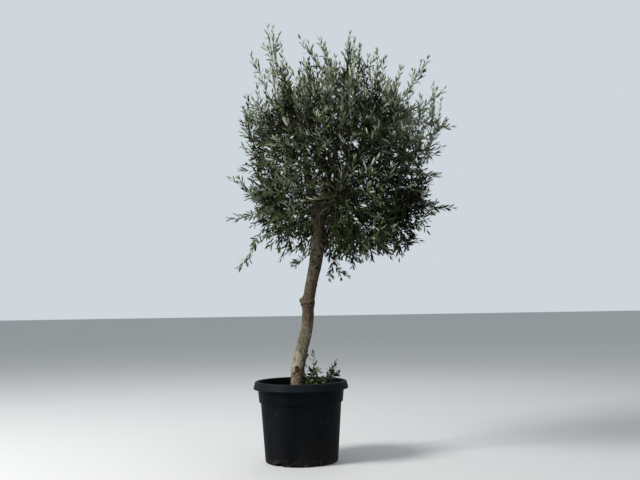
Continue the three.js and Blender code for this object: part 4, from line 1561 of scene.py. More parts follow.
@dataclass
class Growth(SolidGrowth):
    """One mass as it grows on from the twigs of its solid to fine shoots and real leaves."""

    crown: "Foliage"
    twig_arch: float = 0.1
    twig_sway: float = 0.14
    bow_start: float = 0.3
    bow_trials: int = 15
    stem_sides: int = 7
    twig_sides: int = 5
    twig_taper: Pair = (0.85, 0.35)
    sprig_bare: Pair = (0.4, 0.1)
    sprig_stem_radii: Pair = (2.6, 1.1)
    stem_tip: float = 2.4
    stem_sunk: float = 3
    wood_gap: float = 22
    spray_reach: float = 0.78
    long_spray_reach: float = 0.42
    sprig_spray_reach: float = 0.45
    long_bare: float = 0.25
    long_bare_end: float = 0.45
    extra_start: float = 0.2
    extra_run: float = 0.78
    extra_leans: Pair = (35, 62)
    extra_margin: float = 35
    extra_taper: float = 0.25
    extra_gap: float = 34
    extra_length: Pair = (70, 135)
    extra_shortest: float = 22
    shoot_sway: float = 0.05
    shoot_bend_share: float = 0.55
    lift_rise: Pair = (1000, 800)
    trials: tuple[float, ...] = (1.0, 0.8, 0.6, 0.45)
    long_tip: float = 78
    long_tip_top: float = 1920
    long_tip_depth: float = 300
    stem_shoots: int = 24
    stem_shoot_start: float = 0.45
    stem_shoot_leans: Pair = (80, 10)
    stem_shoot_swing: float = 12
    stem_shoot_length: Pair = (60, 105)
    stem_shoot_rise: float = 0.6
    place_filled: float = 29
    longest_reach: float = 230
    outward_favour: float = 0.7
    leader_drop: float = 250
    leader_inward: float = 0.12
    leader_radii: Pair = (2.2, 0.7)
    leader_rings: int = 9
    leader_bare: float = 0.1
    leader_taper_end: float = 1.2
    leader_bend: Point = (0.2, 0.2, 0.6)
    leader_sway: float = 12
    leader_leans: Pair = (24, 40)
    leader_shoots: tuple[float, ...] = (0.35, 0.5, 0.65)
    leader_shoot_length: Pair = (55, 100)
    arching_root: float = 0.38
    shortest_arch: float = 40
    clump_shoots: int = 15
    clump_length: Pair = (24, 46)
    clump_top: float = 405
    clump_start: float = 0.1
    clump_run: float = 0.4
    clump_towards: float = 0.7
    clump_forward: float = 0.3
    clump_rise: Pair = (0.0, 0.7)
    tip_shoot_start: float = 0.95
    tip_shoots: tuple[Pair, ...] = ((-0.05, 62), (0.45, 58))
    thinned_height: float = 1540
    thinned_run: float = 150
    thinned_share: float = 0.5
    thinned_left: float = 0.7
    thinned_side: Pair = (-160, 200)
    neighbour_slack: float = 12
    limb_gap: float = 4.0
    soil_gap: float = 4
    tone_limits: tuple[float, ...] = (0.28, 0.58, 0.86)
    tone_spread: Pair = (0.12, 0.16)
    tone_rise: Pair = (1000, 850)
    tone_side: Pair = (250, 300)
    light_inside: float = 0.06
    light_outward: float = 0.42
    light_reach: float = 1.3
    light_upward: float = 0.34
    light_right: float = 0.4
    light_right_height: float = 0.55
    fresh_and_lit_height: float = 0.45
    basal_fresh: float = 0.12
    basal_sage: float = 0.45
    sprig_sage: float = 0.35

    def __post_init__(self) -> None:
        """Starts without twigs or leaves."""
        super().__post_init__()
        self.random = np.random.default_rng(self.mass.seed)
        self.is_outer = self.mass.name == "basal_shoot_outer"
        self.twigs = Shape()
        self.leaves: list[Leaf] = []
        self.reached: list[Array] = []

    def grow(self) -> None:
        """Grows the mass."""
        for twig in self.solid_twigs():
            if self.mass.in_crown:
                self.grow_crown_twig(twig)
            else:
                self.grow_sprig_twig(twig)
        if self.mass.origin is Origin.SOIL:
            self.grow_tip_shoot()
            self.grow_clump()
        if self.mass.in_crown:
            self.cover_stem()
            self.fill_space()
            self.grow_leaders()
            self.grow_outer_shoots()

    def grow_crown_twig(self, twig: Twig) -> None:
        """Grows a twig of the crown, with a fine shoot at each spray's place and more between them.

        Args:
            twig: The twig of the solid.
        """
        long_shoot = twig.long_shoot
        is_straight = twig.limb is not self.mass.stem and not long_shoot
        line = self.bowed(twig.limb.line) if is_straight else twig.limb.line
        self.add_wood(twig, line)
        for place in twig.places:
            root = line.point(place.share)
            reach = place.length * (self.long_spray_reach if long_shoot else self.spray_reach)
            if long_shoot or self.random.random() > self.thinned(root):
                self.grow_shoot(root, place.direction, reach, long_shoot)
        if long_shoot:
            tip = line.point(1.0)
            self.dress(line, self.long_bare, LONG_HABIT, self.spray_tone(tip), True)
            if tip[2] < self.long_tip_top and abs(tip[1]) < self.long_tip_depth:
                self.grow_shoot(tip, unit(tip - line.point(0.0)), self.long_tip, True)
        count = int(line.span() / self.extra_gap)
        for index in range(count):
            share = self.extra_start + self.extra_run * (index + self.random.random()) / count
            around = index * GOLDEN_ANGLE + self.random.random()
            lean = math.radians(self.random.uniform(*self.extra_leans))
            direction = lean_from(line.tangent(share), around, lean)
            root = line.point(share)
            reach = self.reach_along(root, direction) - self.extra_margin
            longest = self.random.uniform(*self.extra_length) * (1 - self.extra_taper * share)
            length = min(reach, longest)
            wanted = self.random.random() > self.thinned(root) and length > self.extra_shortest
            if wanted and not (long_shoot and share > self.long_bare_end):
                self.grow_shoot(root, direction, length, long_shoot)

    def grow_sprig_twig(self, twig: Twig) -> None:
        """Grows a twig of a small growth, with real leaves straight on it.

        Args:
            twig: The twig of the solid.
        """
        line = twig.limb.line
        on_trunk = self.mass.origin is Origin.TRUNK
        self.add_wood(twig, line)
        bare = self.sprig_bare[0 if twig.limb is self.mass.stem else 1]
        self.dress(line, bare, HABITS[self.mass.origin], self.spray_tone(line.point(1.0)), False)
        for place in twig.places[:: 2 if on_trunk else 1]:
            root = line.point(place.share)
            if on_trunk or root[2] < self.clump_top:
                length = place.length * self.sprig_spray_reach
                self.grow_shoot(root, place.direction, length)

    def thinned(self, root: Array) -> float:
        """The share of shoots that are missing round a place: the top is open, most of all on its left."""
        left = 1 + self.thinned_left * risen(-root[0], *self.thinned_side)
        return self.thinned_share * left * risen(root[2], self.thinned_height, self.thinned_run)

    def bowed(self, line: Line) -> Bow:
        """A twig's straight line with a bow and an arch in it, ended where the crown's filled part ends.

        Args:
            line: The straight line.

        Returns:
            The bowed line.
        """
        points = line.points(np.linspace(self.bow_start, 1, self.bow_trials))
        outside = self.rule.crown_reach(points) > self.crown.filled_reach(points)
        start = line.point(0.0)
        end = points[np.argmax(outside)] if outside.any() else points[-1]
        length = np.linalg.norm(end - start)
        sway = self.random.normal(0, self.twig_sway, 3) * length
        return Bow(start, (start + end) / 2 + sway + UP * self.twig_arch * length, end)

    def fitted_length(self, root: Array, direction: Array, length: float) -> float:
        """How long a shoot may be to end inside the crown's filled part, or 0."""
        inside = self.crown.is_filled(root + direction * length * np.array(self.trials)[:, None])
        return length * self.trials[np.argmax(inside)] if inside.any() else 0.0

    def add_wood(self, twig: Twig, line: Line) -> None:
        """Adds the wood of a twig or stem of the solids along its line here.

        Args:
            twig: The twig or stem.
            line: Its line.
        """
        count = max(4, int(line.span() / self.wood_gap))
        shares = np.linspace(0, 1, count + 1)
        points = line.points(shares)
        is_stem = twig.limb is self.mass.stem
        foot, tip = self.sprig_stem_radii
        if is_stem and self.mass.bough:
            foot, tip = self.rule.bough_tip, self.stem_tip
            points[0] = points[0] - self.mass.bough.line.tangent(1.0) * self.stem_sunk
        elif not is_stem:
            foot, tip = twig.limb.root * self.twig_taper[0], twig.limb.tip * self.twig_taper[1]
        sides = self.stem_sides if is_stem else self.twig_sides
        self.twigs.add_tube(points, foot + (tip - foot) * shares, sides)
        if not twig.long_shoot:
            self.reached.append(points[len(points) // 3 :])

    def grow_shoot(self, root: Array, direction: Array, length: float, free: bool = False,
                   habit: ShootHabit | None = None) -> None:
        """Grows a fine shoot with its leaves, lifted towards the light high in the crown.

        Args:
            root: Where it grows from.
            direction: Where it heads.
            length: Its length.
            free: Whether it may stand outside the crown's outline.
            habit: How it grows, or None for the way of its mass.
        """
        habit = habit or (LONG_HABIT if free else HABITS[self.mass.origin])
        if self.mass.in_crown and not free:
            length = self.fitted_length(root, direction, length)
            if length == 0:
                return
        high = risen(root[2], *self.lift_rise)
        lift = habit.lift[0] + (habit.lift[1] - habit.lift[0]) * high
        sweep = habit.sweep[0] + (habit.sweep[1] - habit.sweep[0]) * high
        end = root + direction * length + UP * lift * length
        sway = self.random.normal(0, self.shoot_sway, 3) * length
        bend = root + direction * length * self.shoot_bend_share + sway - UP * sweep * length
        line = Bow(root, bend, end)
        self.twigs.add_tube(line.points(np.linspace(0, 1, 4)), np.linspace(*habit.radii, 4), 3)
        self.reached.append(line.points(np.array([0.5, 1.0])))
        self.dress(line, habit.bare, habit, self.spray_tone(end), free)

    def dress(self, line: Line, bare: float, habit: ShootHabit, tone: LeafTone, free: bool) -> None:
        """Sets opposite pairs of leaves along a shoot, each pair turned a quarter, and one at its end.

        Args:
            line: The shoot's line.
            bare: The share of it that stays bare.
            habit: How the leaves grow.
            tone: The spray's tone.
            free: Whether the leaves may stand outside the crown's outline.
        """
        random = self.random
        pairs = max(1, int(line.span() * (1 - bare) / habit.pair_gap))
        turn = random.uniform(0, math.pi)
        for pair in range(pairs + 1):
            share = bare + (1 - bare) * pair / pairs
            tangent = line.tangent(share)
            root = line.point(share)
            lean = math.radians(habit.leans[0] + (habit.leans[1] - habit.leans[0]) * share)
            swelled = habit.swell_start + (1 - habit.swell_start) * share
            fullness = habit.fullness + habit.swell * math.sin(math.pi * swelled)
            fullness -= habit.taper * max(0.0, share - habit.taper_start)
            for half in (0, math.pi):
                around = turn + pair * math.pi / 2 + half + random.normal(0, habit.turn_spread)
                direction = lean_from(tangent, around, lean + random.normal(0, habit.lean_spread))
                length = random.uniform(*habit.leaf_length) * fullness
                width = length * habit.leaf_slimness * random.uniform(*habit.width_spread)
                face_up = tangent + UP * habit.face_lift + random.normal(0, habit.face_spread, 3)
                size = (length, width, random.uniform(*habit.bend))
                self.leaves.append(Leaf(root, direction, face_up, size, tone, free))
        length = random.uniform(*habit.leaf_length) * habit.end_size
        face_up = UP + random.normal(0, habit.end_spread, 3)
        size = (length, length * habit.leaf_slimness * habit.end_width, habit.end_bend)
        self.leaves.append(Leaf(line.point(1.0), line.tangent(1.0), face_up, size, tone, free))

    def cover_stem(self) -> None:
        """Grows short leafy shoots over the end of the stem, where its twigs spread."""
        for index in range(self.stem_shoots):
            share = (index + 0.5) / self.stem_shoots
            share = self.stem_shoot_start + (1 - self.stem_shoot_start) * share
            low, high = self.stem_shoot_leans
            swing = self.random.uniform(-self.stem_shoot_swing, self.stem_shoot_swing)
            tilt = math.radians(low + (high - low) * share + swing)
            leaning = lean_from(self.mass.facing, index * GOLDEN_ANGLE, tilt)
            direction = unit(leaning + UP * self.stem_shoot_rise)
            length = self.random.uniform(*self.stem_shoot_length)
            self.grow_shoot(self.mass.stem.line.point(share), direction, length)

    def fill_space(self) -> None:
        """Branches finer shoots on to the places in the mass's space that its twigs leave empty."""
        places = self.crown.places[self.room(self.crown.places) > 0]
        outwards = unit(places - self.rule.trunk.centre(self.rule.fork_height))
        anchors = list(np.vstack(self.reached))
        distances = np.full(len(places), np.inf)
        costs = np.full(len(places), np.inf)
        nearest = np.zeros(len(places), int)

        def offer(index: int) -> None:
            """Offers an anchor to every place, as a start for the shoot to it.

            Args:
                index: The anchor's number.
            """
            offset = places - anchors[index]
            away = np.linalg.norm(offset, axis=1) + TINY
            cost = away * (1 + self.outward_favour * (1 - np.sum(offset * outwards, axis=1) / away))
            better = cost < costs
            costs[better] = cost[better]
            nearest[better] = index
            np.minimum(distances, away, out=distances)

        for index in range(len(anchors)):
            offer(index)
        waiting = distances > self.place_filled
        while waiting.any():
            chosen = int(np.where(waiting, costs, np.inf).argmin())
            waiting[chosen] = False
            start = anchors[nearest[chosen]]
            offset = places[chosen] - start
            length = float(np.linalg.norm(offset))
            if length < self.longest_reach:
                self.grow_shoot(start, offset / length, length)
                for point in self.reached[-1]:
                    anchors.append(point)
                    offer(len(anchors) - 1)
                waiting &= distances > self.place_filled

    def nearest_anchor(self, anchors: Array, place: Array) -> Array:
        """The anchor nearest to a place."""
        return anchors[np.argmin(np.linalg.norm(anchors - place, axis=1))]

    def grow_leaders(self) -> None:
        """Grows the slender upright shoots that stand out of the top of the crown."""
        random = self.random
        centre = self.rule.centre
        anchors = np.vstack(self.reached)
        for place in LEADER_TIPS:
            tip = np.array(place, float)
            foot = tip + self.leader_inward * (centre - tip) * (1, 1, 0) - UP * self.leader_drop
            if self.room(foot[None])[0] > 0:
                start = self.nearest_anchor(anchors, foot)
                bend = tip + (start - tip) * self.leader_bend + random.normal(0, self.leader_sway, 3)
                line = Bow(start, bend, tip)
                points = line.points(np.linspace(0, 1, self.leader_rings))
                self.twigs.add_tube(points, np.linspace(*self.leader_radii, self.leader_rings), 4)
                self.dress(line, self.leader_bare, LONG_HABIT, self.spray_tone(tip), True)
                for share in self.leader_shoots:
                    around = random.uniform(0, TURN)
                    lean = math.radians(random.uniform(*self.leader_leans))
                    direction = lean_from(line.tangent(share), around, lean)
                    length = random.uniform(*self.leader_shoot_length) * (self.leader_taper_end - share)
                    self.grow_shoot(line.point(share), direction, length, True)

    def grow_outer_shoots(self) -> None:
        """Grows the loose shoots that make the crown's outline feathery."""
        places = self.crown.outer_places
        anchors = np.vstack(self.reached)
        for place in places[self.room(places) > 0]:
            root = place + self.arching_root * (self.rule.centre - place)
            start = self.nearest_anchor(anchors, root)
            length = float(np.linalg.norm(place - start))
            if self.shortest_arch < length < self.longest_reach:
                self.grow_shoot(start, (place - start) / length, length, True, ARCHING_HABIT)

    def grow_tip_shoot(self) -> None:
        """Grows the slender shoot that stands above the clump of a basal shoot."""
        across, length = self.tip_shoots[self.is_outer]
        direction = unit(np.array([across, 0.0, 1.0]))
        root = self.mass.stem.line.point(self.tip_shoot_start)
        self.grow_shoot(root, direction, length, habit=TIP_HABIT)

    def grow_clump(self) -> None:
        """Grows low shoots round the foot of a basal shoot, most of them on the side of its neighbour."""
        towards = -self.clump_towards if self.is_outer else self.clump_towards
        for index in range(self.clump_shoots):
            share = self.clump_start + self.clump_run * index / self.clump_shoots
            rise = self.random.uniform(*self.clump_rise)
            pull = np.array([towards, -self.clump_forward, rise])
            direction = unit(outward(index * GOLDEN_ANGLE) + pull)
            root = self.mass.stem.line.point(share)
            self.grow_shoot(root, direction, self.random.uniform(*self.clump_length))

    def spray_tone(self, tip: Array) -> LeafTone:
        """The tone of a spray, as painted light and shade in the crown: lighter outside, high up and to the
        right, darker inside and low.

        Args:
            tip: The spray's tip.

        Returns:
            The tone.
        """
        if self.mass.origin is Origin.SOIL:
            draw = self.random.random()
            if draw < self.basal_fresh:
                return LeafTone.FRESH
            return LeafTone.SAGE if draw < self.basal_sage else LeafTone.OLIVE
        if self.mass.origin is Origin.TRUNK:
            return LeafTone.SAGE if self.random.random() < self.sprig_sage else LeafTone.OLIVE
        # Painted light and shade: a light value that rises outward, upward and on the upper right picks each
        # crown spray's tone.
        reach = float(self.rule.crown_reach(tip[None])[0])
        high = risen(tip[2], *self.tone_rise)
        right = risen(tip[0], *self.tone_side)
        light = self.light_inside + self.light_outward * min(reach, self.light_reach)
        light += self.light_upward * high + self.light_right * right * (high - self.light_right_height)
        spread = self.tone_spread[0] + self.tone_spread[1] * high**2
        light += self.crown.patch(tip) + self.random.normal(0, spread)
        for tone, limit in zip(LeafTone, self.tone_limits):
            if light < limit:
                return tone
        return LeafTone.FRESH if high > self.fresh_and_lit_height else LeafTone.SAGE

    def leaves_kept(self) -> Array:
        """Which leaves keep to their space, off the limbs and out of the sky gaps.

        Returns:
            True for each leaf that is kept.
        """
        roots, directions, _, sizes, _, free = (np.array(column) for column in zip(*self.leaves))
        middles = roots + directions * sizes[:, 0:1] / 2
        tips = roots + directions * sizes[:, 0:1]
        keep = free | (self.room(middles) > -self.neighbour_slack)
        if self.mass.in_crown:
            keep &= free | self.crown.is_filled(tips)
        else:
            keep &= np.minimum(tips[:, 2], middles[:, 2]) > SOIL_TOP + self.soil_gap
        for points in (middles, tips):
            keep &= self.rule.clear_of_limbs(points, self.limb_gap)
            keep &= self.crown.clear_of_gaps(points)
        return keep


@dataclass
class Foliage:
    """The crown's masses and the small growths, and what they share."""

    rule: GrowthRule
    viewpoint: Viewpoint
    unevenness: Unevenness = Unevenness()
    outline_slack: float = 1.25
    place_gap: float = 45
    place_share: float = 0.9
    place_limb_gap: float = 16.0
    inner_reach: float = 0.1
    inner_share: float = 0.5
    place_jitter: float = 0.4
    open_side: Pair = (110, 1260)
    open_side_share: float = 0.6
    upper_left: Pair = (60, 1560)
    upper_left_share: float = 0.25
    upper_right: Pair = (420, 1500)
    upper_right_share: float = 0.6
    top_start: float = 1590
    top_run: float = 200
    top_share: float = 0.22
    outer_shoots: int = 190
    outer_reach: Pair = (0.0, 0.16)
    outer_jitter: float = 0.07
    outer_low_trim: float = 0.2
    outer_front_trim: float = 0.1
    gap_raggedness: Pair = (0.1, 1.2)
    trunk_middle_heights: tuple[float, ...] = (930, 1014, 1107, 1185)
    trunk_middles: tuple[float, ...] = (80, 89, 93, 101)
    trunk_view_heights: tuple[float, ...] = (930, 960, 1000, 1060, 1130, 1190, 1230)
    trunk_view_halves: tuple[float, ...] = (0, 24, 34, 32, 22, 12, 0)
    patch_size: float = 62
    patch_waves: int = 6
    patch_swing: float = 0.2
    seed: int = 900

    def build(self) -> list[Piece]:
        """Builds a leaf piece and a twig piece for each mass.

        Returns:
            The pieces.
        """
        tones = [LEAF_FINISHES[tone].make() for tone in LeafTone]
        bark = [TwigFinish("bark_young").make()]
        pieces = []
        for mass in self.rule.masses:
            growth = Growth(self.rule, mass, self)
            growth.grow()
            node = f"foliage_{mass.name}" if mass.in_crown else mass.name
            leaves = Blade().join(growth.leaves, growth.leaves_kept())
            pieces.append(leaves.to_piece(f"leaves_{mass.name}", tones, "leaves", [node]))
            pieces.append(growth.twigs.to_piece(f"twigs_{mass.name}", bark, "leaves", [node]))
        return pieces

    @cached_property
    def places(self) -> Array:
        """Places spread evenly through the crown, fewer near its middle, which shoots grow to.

        Returns:
            Rows of points.
        """
        random = np.random.default_rng(self.seed)
        rule = self.rule
        counts = np.ceil(np.array(rule.crown_halves) / self.place_gap).astype(int)
        axes = [np.arange(-count, count + 1) * self.place_gap for count in counts]
        grid = np.stack(np.meshgrid(*axes, indexing="ij"), axis=-1).reshape(-1, 3)
        jitter = random.uniform(-self.place_jitter, self.place_jitter, grid.shape)
        places = grid + jitter * self.place_gap + rule.centre
        across, height = places[:, 0], places[:, 2]
        reach = rule.crown_reach(places)
        chance = np.where(reach < self.inner_reach, self.inner_share, self.place_share)
        edge, level = self.open_side
        chance = np.where((across < edge) & (height < level), self.open_side_share, chance)
        edge, level = self.upper_left
        chance = np.where((across < edge) & (height > level), self.upper_left_share * chance, chance)
        edge, level = self.upper_right
        chance = np.where((across > edge) & (height > level), self.upper_right_share * chance, chance)
        chance = chance * (1 + (self.top_share - 1) * risen(height, self.top_start, self.top_run))
        keep = (reach < self.filled_reach(places)) & (random.random(len(places)) < chance)
        keep &= rule.clear_of_limbs(places, self.place_limb_gap) & self.clear_of_gaps(places)
        return places[keep]

    @cached_property
    def outer_places(self) -> Array:
        """Where the loose outer shoots end, spread evenly a little outside the crown's filled part.

        Returns:
            Rows of points.
        """
        random = np.random.default_rng(self.seed + 1)
        index = np.arange(self.outer_shoots) + 0.5
        rise = 1 - 2 * index / self.outer_shoots
        angle = index * GOLDEN_ANGLE
        level = np.sqrt(1 - rise**2)
        directions = np.column_stack([level * np.cos(angle), level * np.sin(angle), rise])
        directions = unit(directions + random.normal(0, self.outer_jitter, directions.shape))
        centre = self.rule.centre
        full = self.rule.crown_reach(centre + directions) ** (-1 / self.rule.crown_fullness)
        share = self.unevenness.limit(directions) + random.uniform(*self.outer_reach, len(directions))
        share -= self.outer_low_trim * np.clip(-directions[:, 2] - 0.4, 0, 0.5)
        share -= self.outer_front_trim * np.clip(-directions[:, 1] - 0.3, 0, 0.7)
        return centre + directions * (full * share)[:, None]

    @cached_property
    def patches(self) -> tuple[Array, Array]:
        """Draws the waves that lighten and darken parts of the crown.

        Returns:
            Their directions and their starts.
        """
        random = np.random.default_rng(self.seed + 2)
        directions = random.normal(0, 1 / self.patch_size, (self.patch_waves, 3))
        return directions, random.uniform(0, TURN, self.patch_waves)

    def patch(self, tip: Array) -> float:
        """How much lighter or darker the part of the crown round a spray is."""
        directions, starts = self.patches
        return self.patch_swing * float(np.mean(np.sin(directions @ tip + starts)))

    def filled_reach(self, points: Array) -> Array:
        """How far out the crown is filled in the direction of each point."""
        return self.unevenness.limit(points - self.rule.centre) ** self.rule.crown_fullness

    def is_filled(self, points: Array) -> Array:
        """Which points are in the crown's filled part or a little outside it."""
        return self.rule.crown_reach(points) < self.filled_reach(points) * self.outline_slack

    def clear_of_gaps(self, points: Array) -> Array:
        """Which points are out of the ragged sight lines through the sky gaps and to the trunk's top.

        Args:
            points: Rows of points.

        Returns:
            True for each point that is clear.
        """
        eye = np.array(self.viewpoint.place)
        random = np.random.default_rng(self.seed + len(points))
        ragged = random.uniform(*self.gap_raggedness, len(points))
        clear = np.ones(len(points), bool)
        for across, height, radius in SKY_GAPS:
            sight = unit(np.array([across, 0.0, height]) - eye)
            offset = points - eye
            distance = np.linalg.norm(offset - (offset @ sight)[:, None] * sight, axis=1)
            clear &= distance > radius * ragged
        seen = eye - (points - eye) * (eye[1] / (points[:, 1] - eye[1]))[:, None]
        middle = np.interp(seen[:, 2], self.trunk_middle_heights, self.trunk_middles)
        half = np.interp(seen[:, 2], self.trunk_view_heights, self.trunk_view_halves)
        return clear & ((points[:, 1] > 0) | (np.abs(seen[:, 0] - middle) > half * ragged))


@dataclass
class Container:
    """The round plastic container, with its turned lip, cuff, fluted body and drainage notches.

    Outlines are rows of radius and height, from the underside up, over the lip and in.
    """

    foot: float = 167
    foot_height: float = 10
    body_top: float = 185
    body_height: float = 268
    body_rings: tuple[float, ...] = (18, 30, 50, 80, 130, 180, 230, 255, 262)
    underside: tuple[Pair, ...] = (
        (0.5, 0), (151, 0), (158, 0), (162.7, 0.9), (165.5, 3.2), (166.7, 7), (167, 10),
    )
    notch: tuple[Pair, ...] = (
        (0.5, 0), (151, 0), (153, 0.8), (153, 13), (154, 14), (166.28, 14), (167.28, 14.8),
    )
    cuff: tuple[Pair, ...] = (
        (185.1, 266.5), (186.2, 268.6), (191.3, 271.6), (192.5, 274.2), (195.1, 300), (197.7, 327.5),
    )
    lip: tuple[Pair, ...] = (
        (198.6, 329.4), (215, 331), (217.5, 332), (218.5, 335), (215.5, 346), (212.5, 357), (211.9, 360.6),
        (210.3, 363.4), (207.7, 365.3), (204.5, 366), (201, 365.7), (198.8, 364.4),
    )
    inner_wall: tuple[Pair, ...] = (
        (197.5, 361.8), (196.8, 357), (194.3, 331), (192.5, 311), (191, 297),
    )
    notch_count: int = 6
    notch_half_width: float = 15
    notch_turn: float = -65
    flutes: int = 54
    flute_depth: float = 0.8
    flute_foot: Pair = (30, 50)
    flute_head: Pair = (256, 6)
    columns: int = 324
    notch_edge: float = 0.002
    # Painted shade: darker colours for the container's inner wall.
    shaded_inside_black: Colour = (0.001, 0.0013, 0.0016, 1)
    shaded_inside_worn: Colour = (0.002, 0.0024, 0.0028, 1)
    sharp_angle: float = 32

    def build(self) -> list[Piece]:
        """Builds the container.

        Returns:
            The piece, in a list.
        """
        angles = self.column_angles()
        inside = self.in_notch(angles)
        slope = (self.body_top - self.foot) / (self.body_height - self.foot_height)
        body = [(self.foot + slope * (height - self.foot_height), height) for height in self.body_rings]
        above = (*body, *self.cuff, *self.lip, *self.inner_wall)
        rings = []
        for plain, notched in zip((*self.underside, *above), (*self.notch, *above)):
            height = np.where(inside, notched[1], plain[1])
            radius = np.where(inside, notched[0], plain[0]) - self.flute(angles, height)
            rings.append(np.column_stack([radius * np.cos(angles), radius * np.sin(angles), height]))
        shape = Shape()
        inner = len(self.inner_wall)
        shape.add_rings(np.array(rings[: 1 - inner]))
        # The inner wall takes a darker finish with no sheen on its lip, as painted shade inside the
        # container.
        shape.add_rings(np.array(rings[-inner:]), slot=1)
        worn = self.shaded_inside_worn
        shaded_inside_finish = ContainerFinish("container_inside_shaded", self.shaded_inside_black, worn, lip=worn)
        materials = [ContainerFinish("container_black").make(), shaded_inside_finish.make()]
        slot = "container_plastic"
        return [shape.to_piece("container_shell", materials, slot, ["pot"], sharp=self.sharp_angle)]

    def notch_angles(self) -> Array:
        """The bearings of the drainage notches."""
        return math.radians(self.notch_turn) + np.arange(self.notch_count) * TURN / self.notch_count

    def column_angles(self) -> Array:
        """The angles of the corners round the container, with close pairs at the notches' sides.

        Returns:
            The angles, in order.
        """
        angles = list(np.arange(self.columns) * TURN / self.columns)
        half = self.notch_half_width / self.foot
        for notch in self.notch_angles():
            for side in (-half, half):
                angles.extend([notch + side - self.notch_edge, notch + side + self.notch_edge])
        return np.unique(np.round(np.mod(angles, TURN), 6))

    def in_notch(self, angles: Array) -> Array:
        """Which angles are inside a notch."""
        away = (angles[:, None] - self.notch_angles()[None] + math.pi) % TURN - math.pi
        return (np.abs(away) < self.notch_half_width / self.foot).any(axis=1)

    def flute(self, angles: Array, heights: Array) -> Array:
        """The depth of the faint upright flutes on the body."""
        fade = risen(heights, *self.flute_foot) * (1 - risen(heights, *self.flute_head))
        return self.flute_depth * (0.5 - 0.5 * np.cos(self.flutes * angles)) ** 2 * fade


@dataclass
class PottingSoil:
    """The soil's rough surface, with crumbs of bark on it."""

    radius: float = 192.4
    rings: int = 60
    sides: int = 150
    skirt: float = 14
    coarse_grid: tuple[int, int] = (26, 9)
    coarse_rise: float = 1.8
    rough_grid: tuple[int, int] = (90, 30)
    rough_rise: float = 1.2
    mound_rise: float = 5
    mound_radius: float = 55
    edge_drop: float = 2.5
    crumbs: int = 1300
    crumb_halves: tuple[Pair, ...] = ((2.2, 7.5), (1.4, 3.6), (0.7, 1.8))
    crumb_tilt: float = 0.35
    sharp_angle: float = 45
    seed: int = 77

    def build(self) -> list[Piece]:
        """Builds the soil.

        Returns:
            The piece, in a list.
        """
        shape = Shape()
        self.add_surface(shape)
        self.add_crumbs(shape)
        materials = [SoilFinish("soil_dark").make()]
        return [shape.to_piece("soil_surface", materials, "soil", ["potting_soil"], sharp=self.sharp_angle)]

    def height_at(self, turns: Array, shares: Array) -> Array:
        """The surface's height at places round and out from the middle.

        Args:
            turns: Places round, from 0 to 1.
            shares: Places out, from 0 to 1.

        Returns:
            The height at each.
        """
        coarse = Ripple(self.seed, *self.coarse_grid).at(turns, shares) * self.coarse_rise
        rough = coarse + Ripple(self.seed + 1, *self.rough_grid).at(turns, shares) * self.rough_rise
        mound = self.mound_rise * np.exp(-((shares * self.radius / self.mound_radius) ** 2))
        return SOIL_TOP - self.edge_drop + mound + rough * np.clip(shares * 4, 0, 1)

    def add_surface(self, shape: Shape) -> None:
        """Adds the surface and a skirt down inside the container.

        Args:
            shape: The shape that it joins.
        """
        shares = np.linspace(1, 0.004, self.rings)
        turns = np.arange(self.sides) / self.sides
        share, turn = np.meshgrid(shares, turns, indexing="ij")
        angle = turn * TURN
        height = self.height_at(turn, share)
        reach = share * self.radius
        rings = np.stack([np.cos(angle) * reach, np.sin(angle) * reach, height], axis=2)
        foot = rings[0].copy()
        foot[:, 2] = SOIL_TOP - self.skirt
        foot[:, :2] *= (self.radius - 1.5) / self.radius
        shape.add_rings(np.concatenate([foot[None], rings]), closed_end=True)

    def add_crumbs(self, shape: Shape) -> None:
        """Scatters crumbs of bark over the surface.

        Args:
            shape: The shape that they join.
        """
        random = np.random.default_rng(self.seed + 5)
        block = np.array([[x, y, z] for x in (-1, 1) for y in (-1, 1) for z in (-1, 1)], float)
        faces = np.array(
            [
                (0, 1, 3), (0, 3, 2), (4, 6, 7), (4, 7, 5), (0, 4, 5), (0, 5, 1),
                (2, 3, 7), (2, 7, 6), (0, 2, 6), (0, 6, 4), (1, 5, 7), (1, 7, 3),
            ]
        )
        for _ in range(self.crumbs):
            share = math.sqrt(random.uniform(0.012, 0.93))
            turn = random.random()
            size = np.array([random.uniform(*half) for half in self.crumb_halves])
            spin = Matrix.Rotation(random.uniform(0, 6.28), 3, "Z")
            spin = spin @ Matrix.Rotation(random.normal(0, self.crumb_tilt), 3, "X")
            corners = block * size * random.uniform(0.65, 1.1, (8, 3))
            height = self.height_at(np.array([turn]), np.array([share]))[0] + 0.8
            place = outward(turn * TURN) * share * self.radius + UP * height
            shape.add(corners @ np.array(spin).T + place, faces)


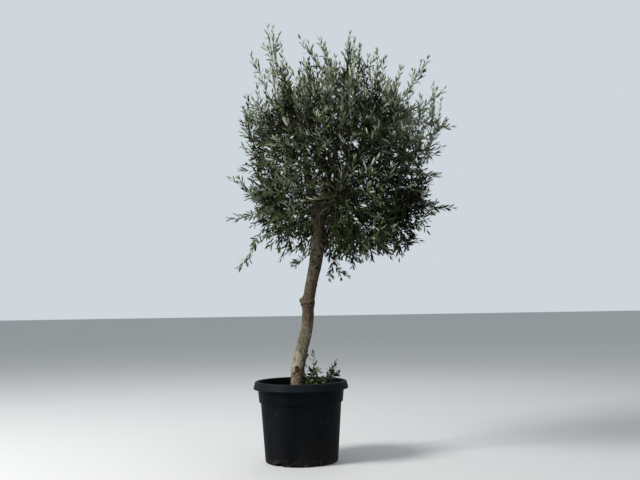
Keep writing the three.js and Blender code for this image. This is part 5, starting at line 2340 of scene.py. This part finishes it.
@dataclass
class Studio:
    """The plain pale floor and the soft light."""

    viewpoint: Viewpoint
    floor_size: float = 120
    floor_colour: Colour = (0.4, 0.396, 0.388, 1)
    sky_colour: Colour = (0.62, 0.68, 0.725, 1)
    sky_strength: float = 1.0

    def build(self) -> None:
        """Builds the floor, the sky and the lights, and adds the camera."""
        self.add_floor()
        world = bpy.data.worlds.new("soft_sky")
        world.use_nodes = True
        background = world.node_tree.nodes["Background"]
        background.inputs["Color"].default_value = self.sky_colour
        background.inputs["Strength"].default_value = self.sky_strength
        bpy.context.scene.world = world
        self.add_light("key_light", (-4.2, -2.1, 4.1), 1.8, 640)
        self.add_light("fill_light", (3.4, -2.6, 2.2), 3.0, 12)
        self.add_light("back_light", (0.6, 3.2, 3.8), 2.6, 50)
        self.viewpoint.add_camera()
        bpy.context.scene.view_settings.view_transform = "Standard"

    def add_floor(self) -> None:
        """Adds the floor."""
        half = self.floor_size / 2
        mesh = bpy.data.meshes.new("floor")
        corners = [(-half, -half, 0), (half, -half, 0), (half, half, 0), (-half, half, 0)]
        mesh.from_pydata(corners, [], [(0, 1, 2, 3)])
        mesh.materials.append(Recipe("floor_pale").finish(self.floor_colour, 0.9, 0.5))
        floor = bpy.data.objects.new("floor", mesh)
        bpy.context.scene.collection.objects.link(floor)

    def add_light(self, name: str, place: Point, size: float, power: float) -> None:
        """Adds a soft square light that looks at the tree.

        Args:
            name: The light's name.
            place: Where it is, in metres.
            size: The length of its sides.
            power: Its power in watts.
        """
        data = bpy.data.lights.new(name, "AREA")
        data.size = size
        data.energy = power
        light = bpy.data.objects.new(name, data)
        light.location = place
        towards = Vector((0.15, 0.0, 1.1)) - Vector(place)
        light.rotation_euler = towards.to_track_quat("-Z", "Y").to_euler()
        bpy.context.scene.collection.objects.link(light)


def main() -> None:
    """Builds the studio, the container, the soil and the tree, and reports each piece."""
    logging.basicConfig(level=logging.INFO, format="%(message)s")
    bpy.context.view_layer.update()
    viewpoint = Viewpoint()
    rule = GrowthRule(Trunk())
    Studio(viewpoint).build()
    for part in (Container(), PottingSoil(), Wood(rule), Foliage(rule, viewpoint)):
        for piece in part.build():
            LOG.info("%s: %d faces", piece.name, len(piece.data.polygons))


if __name__ == "__main__":
    main()
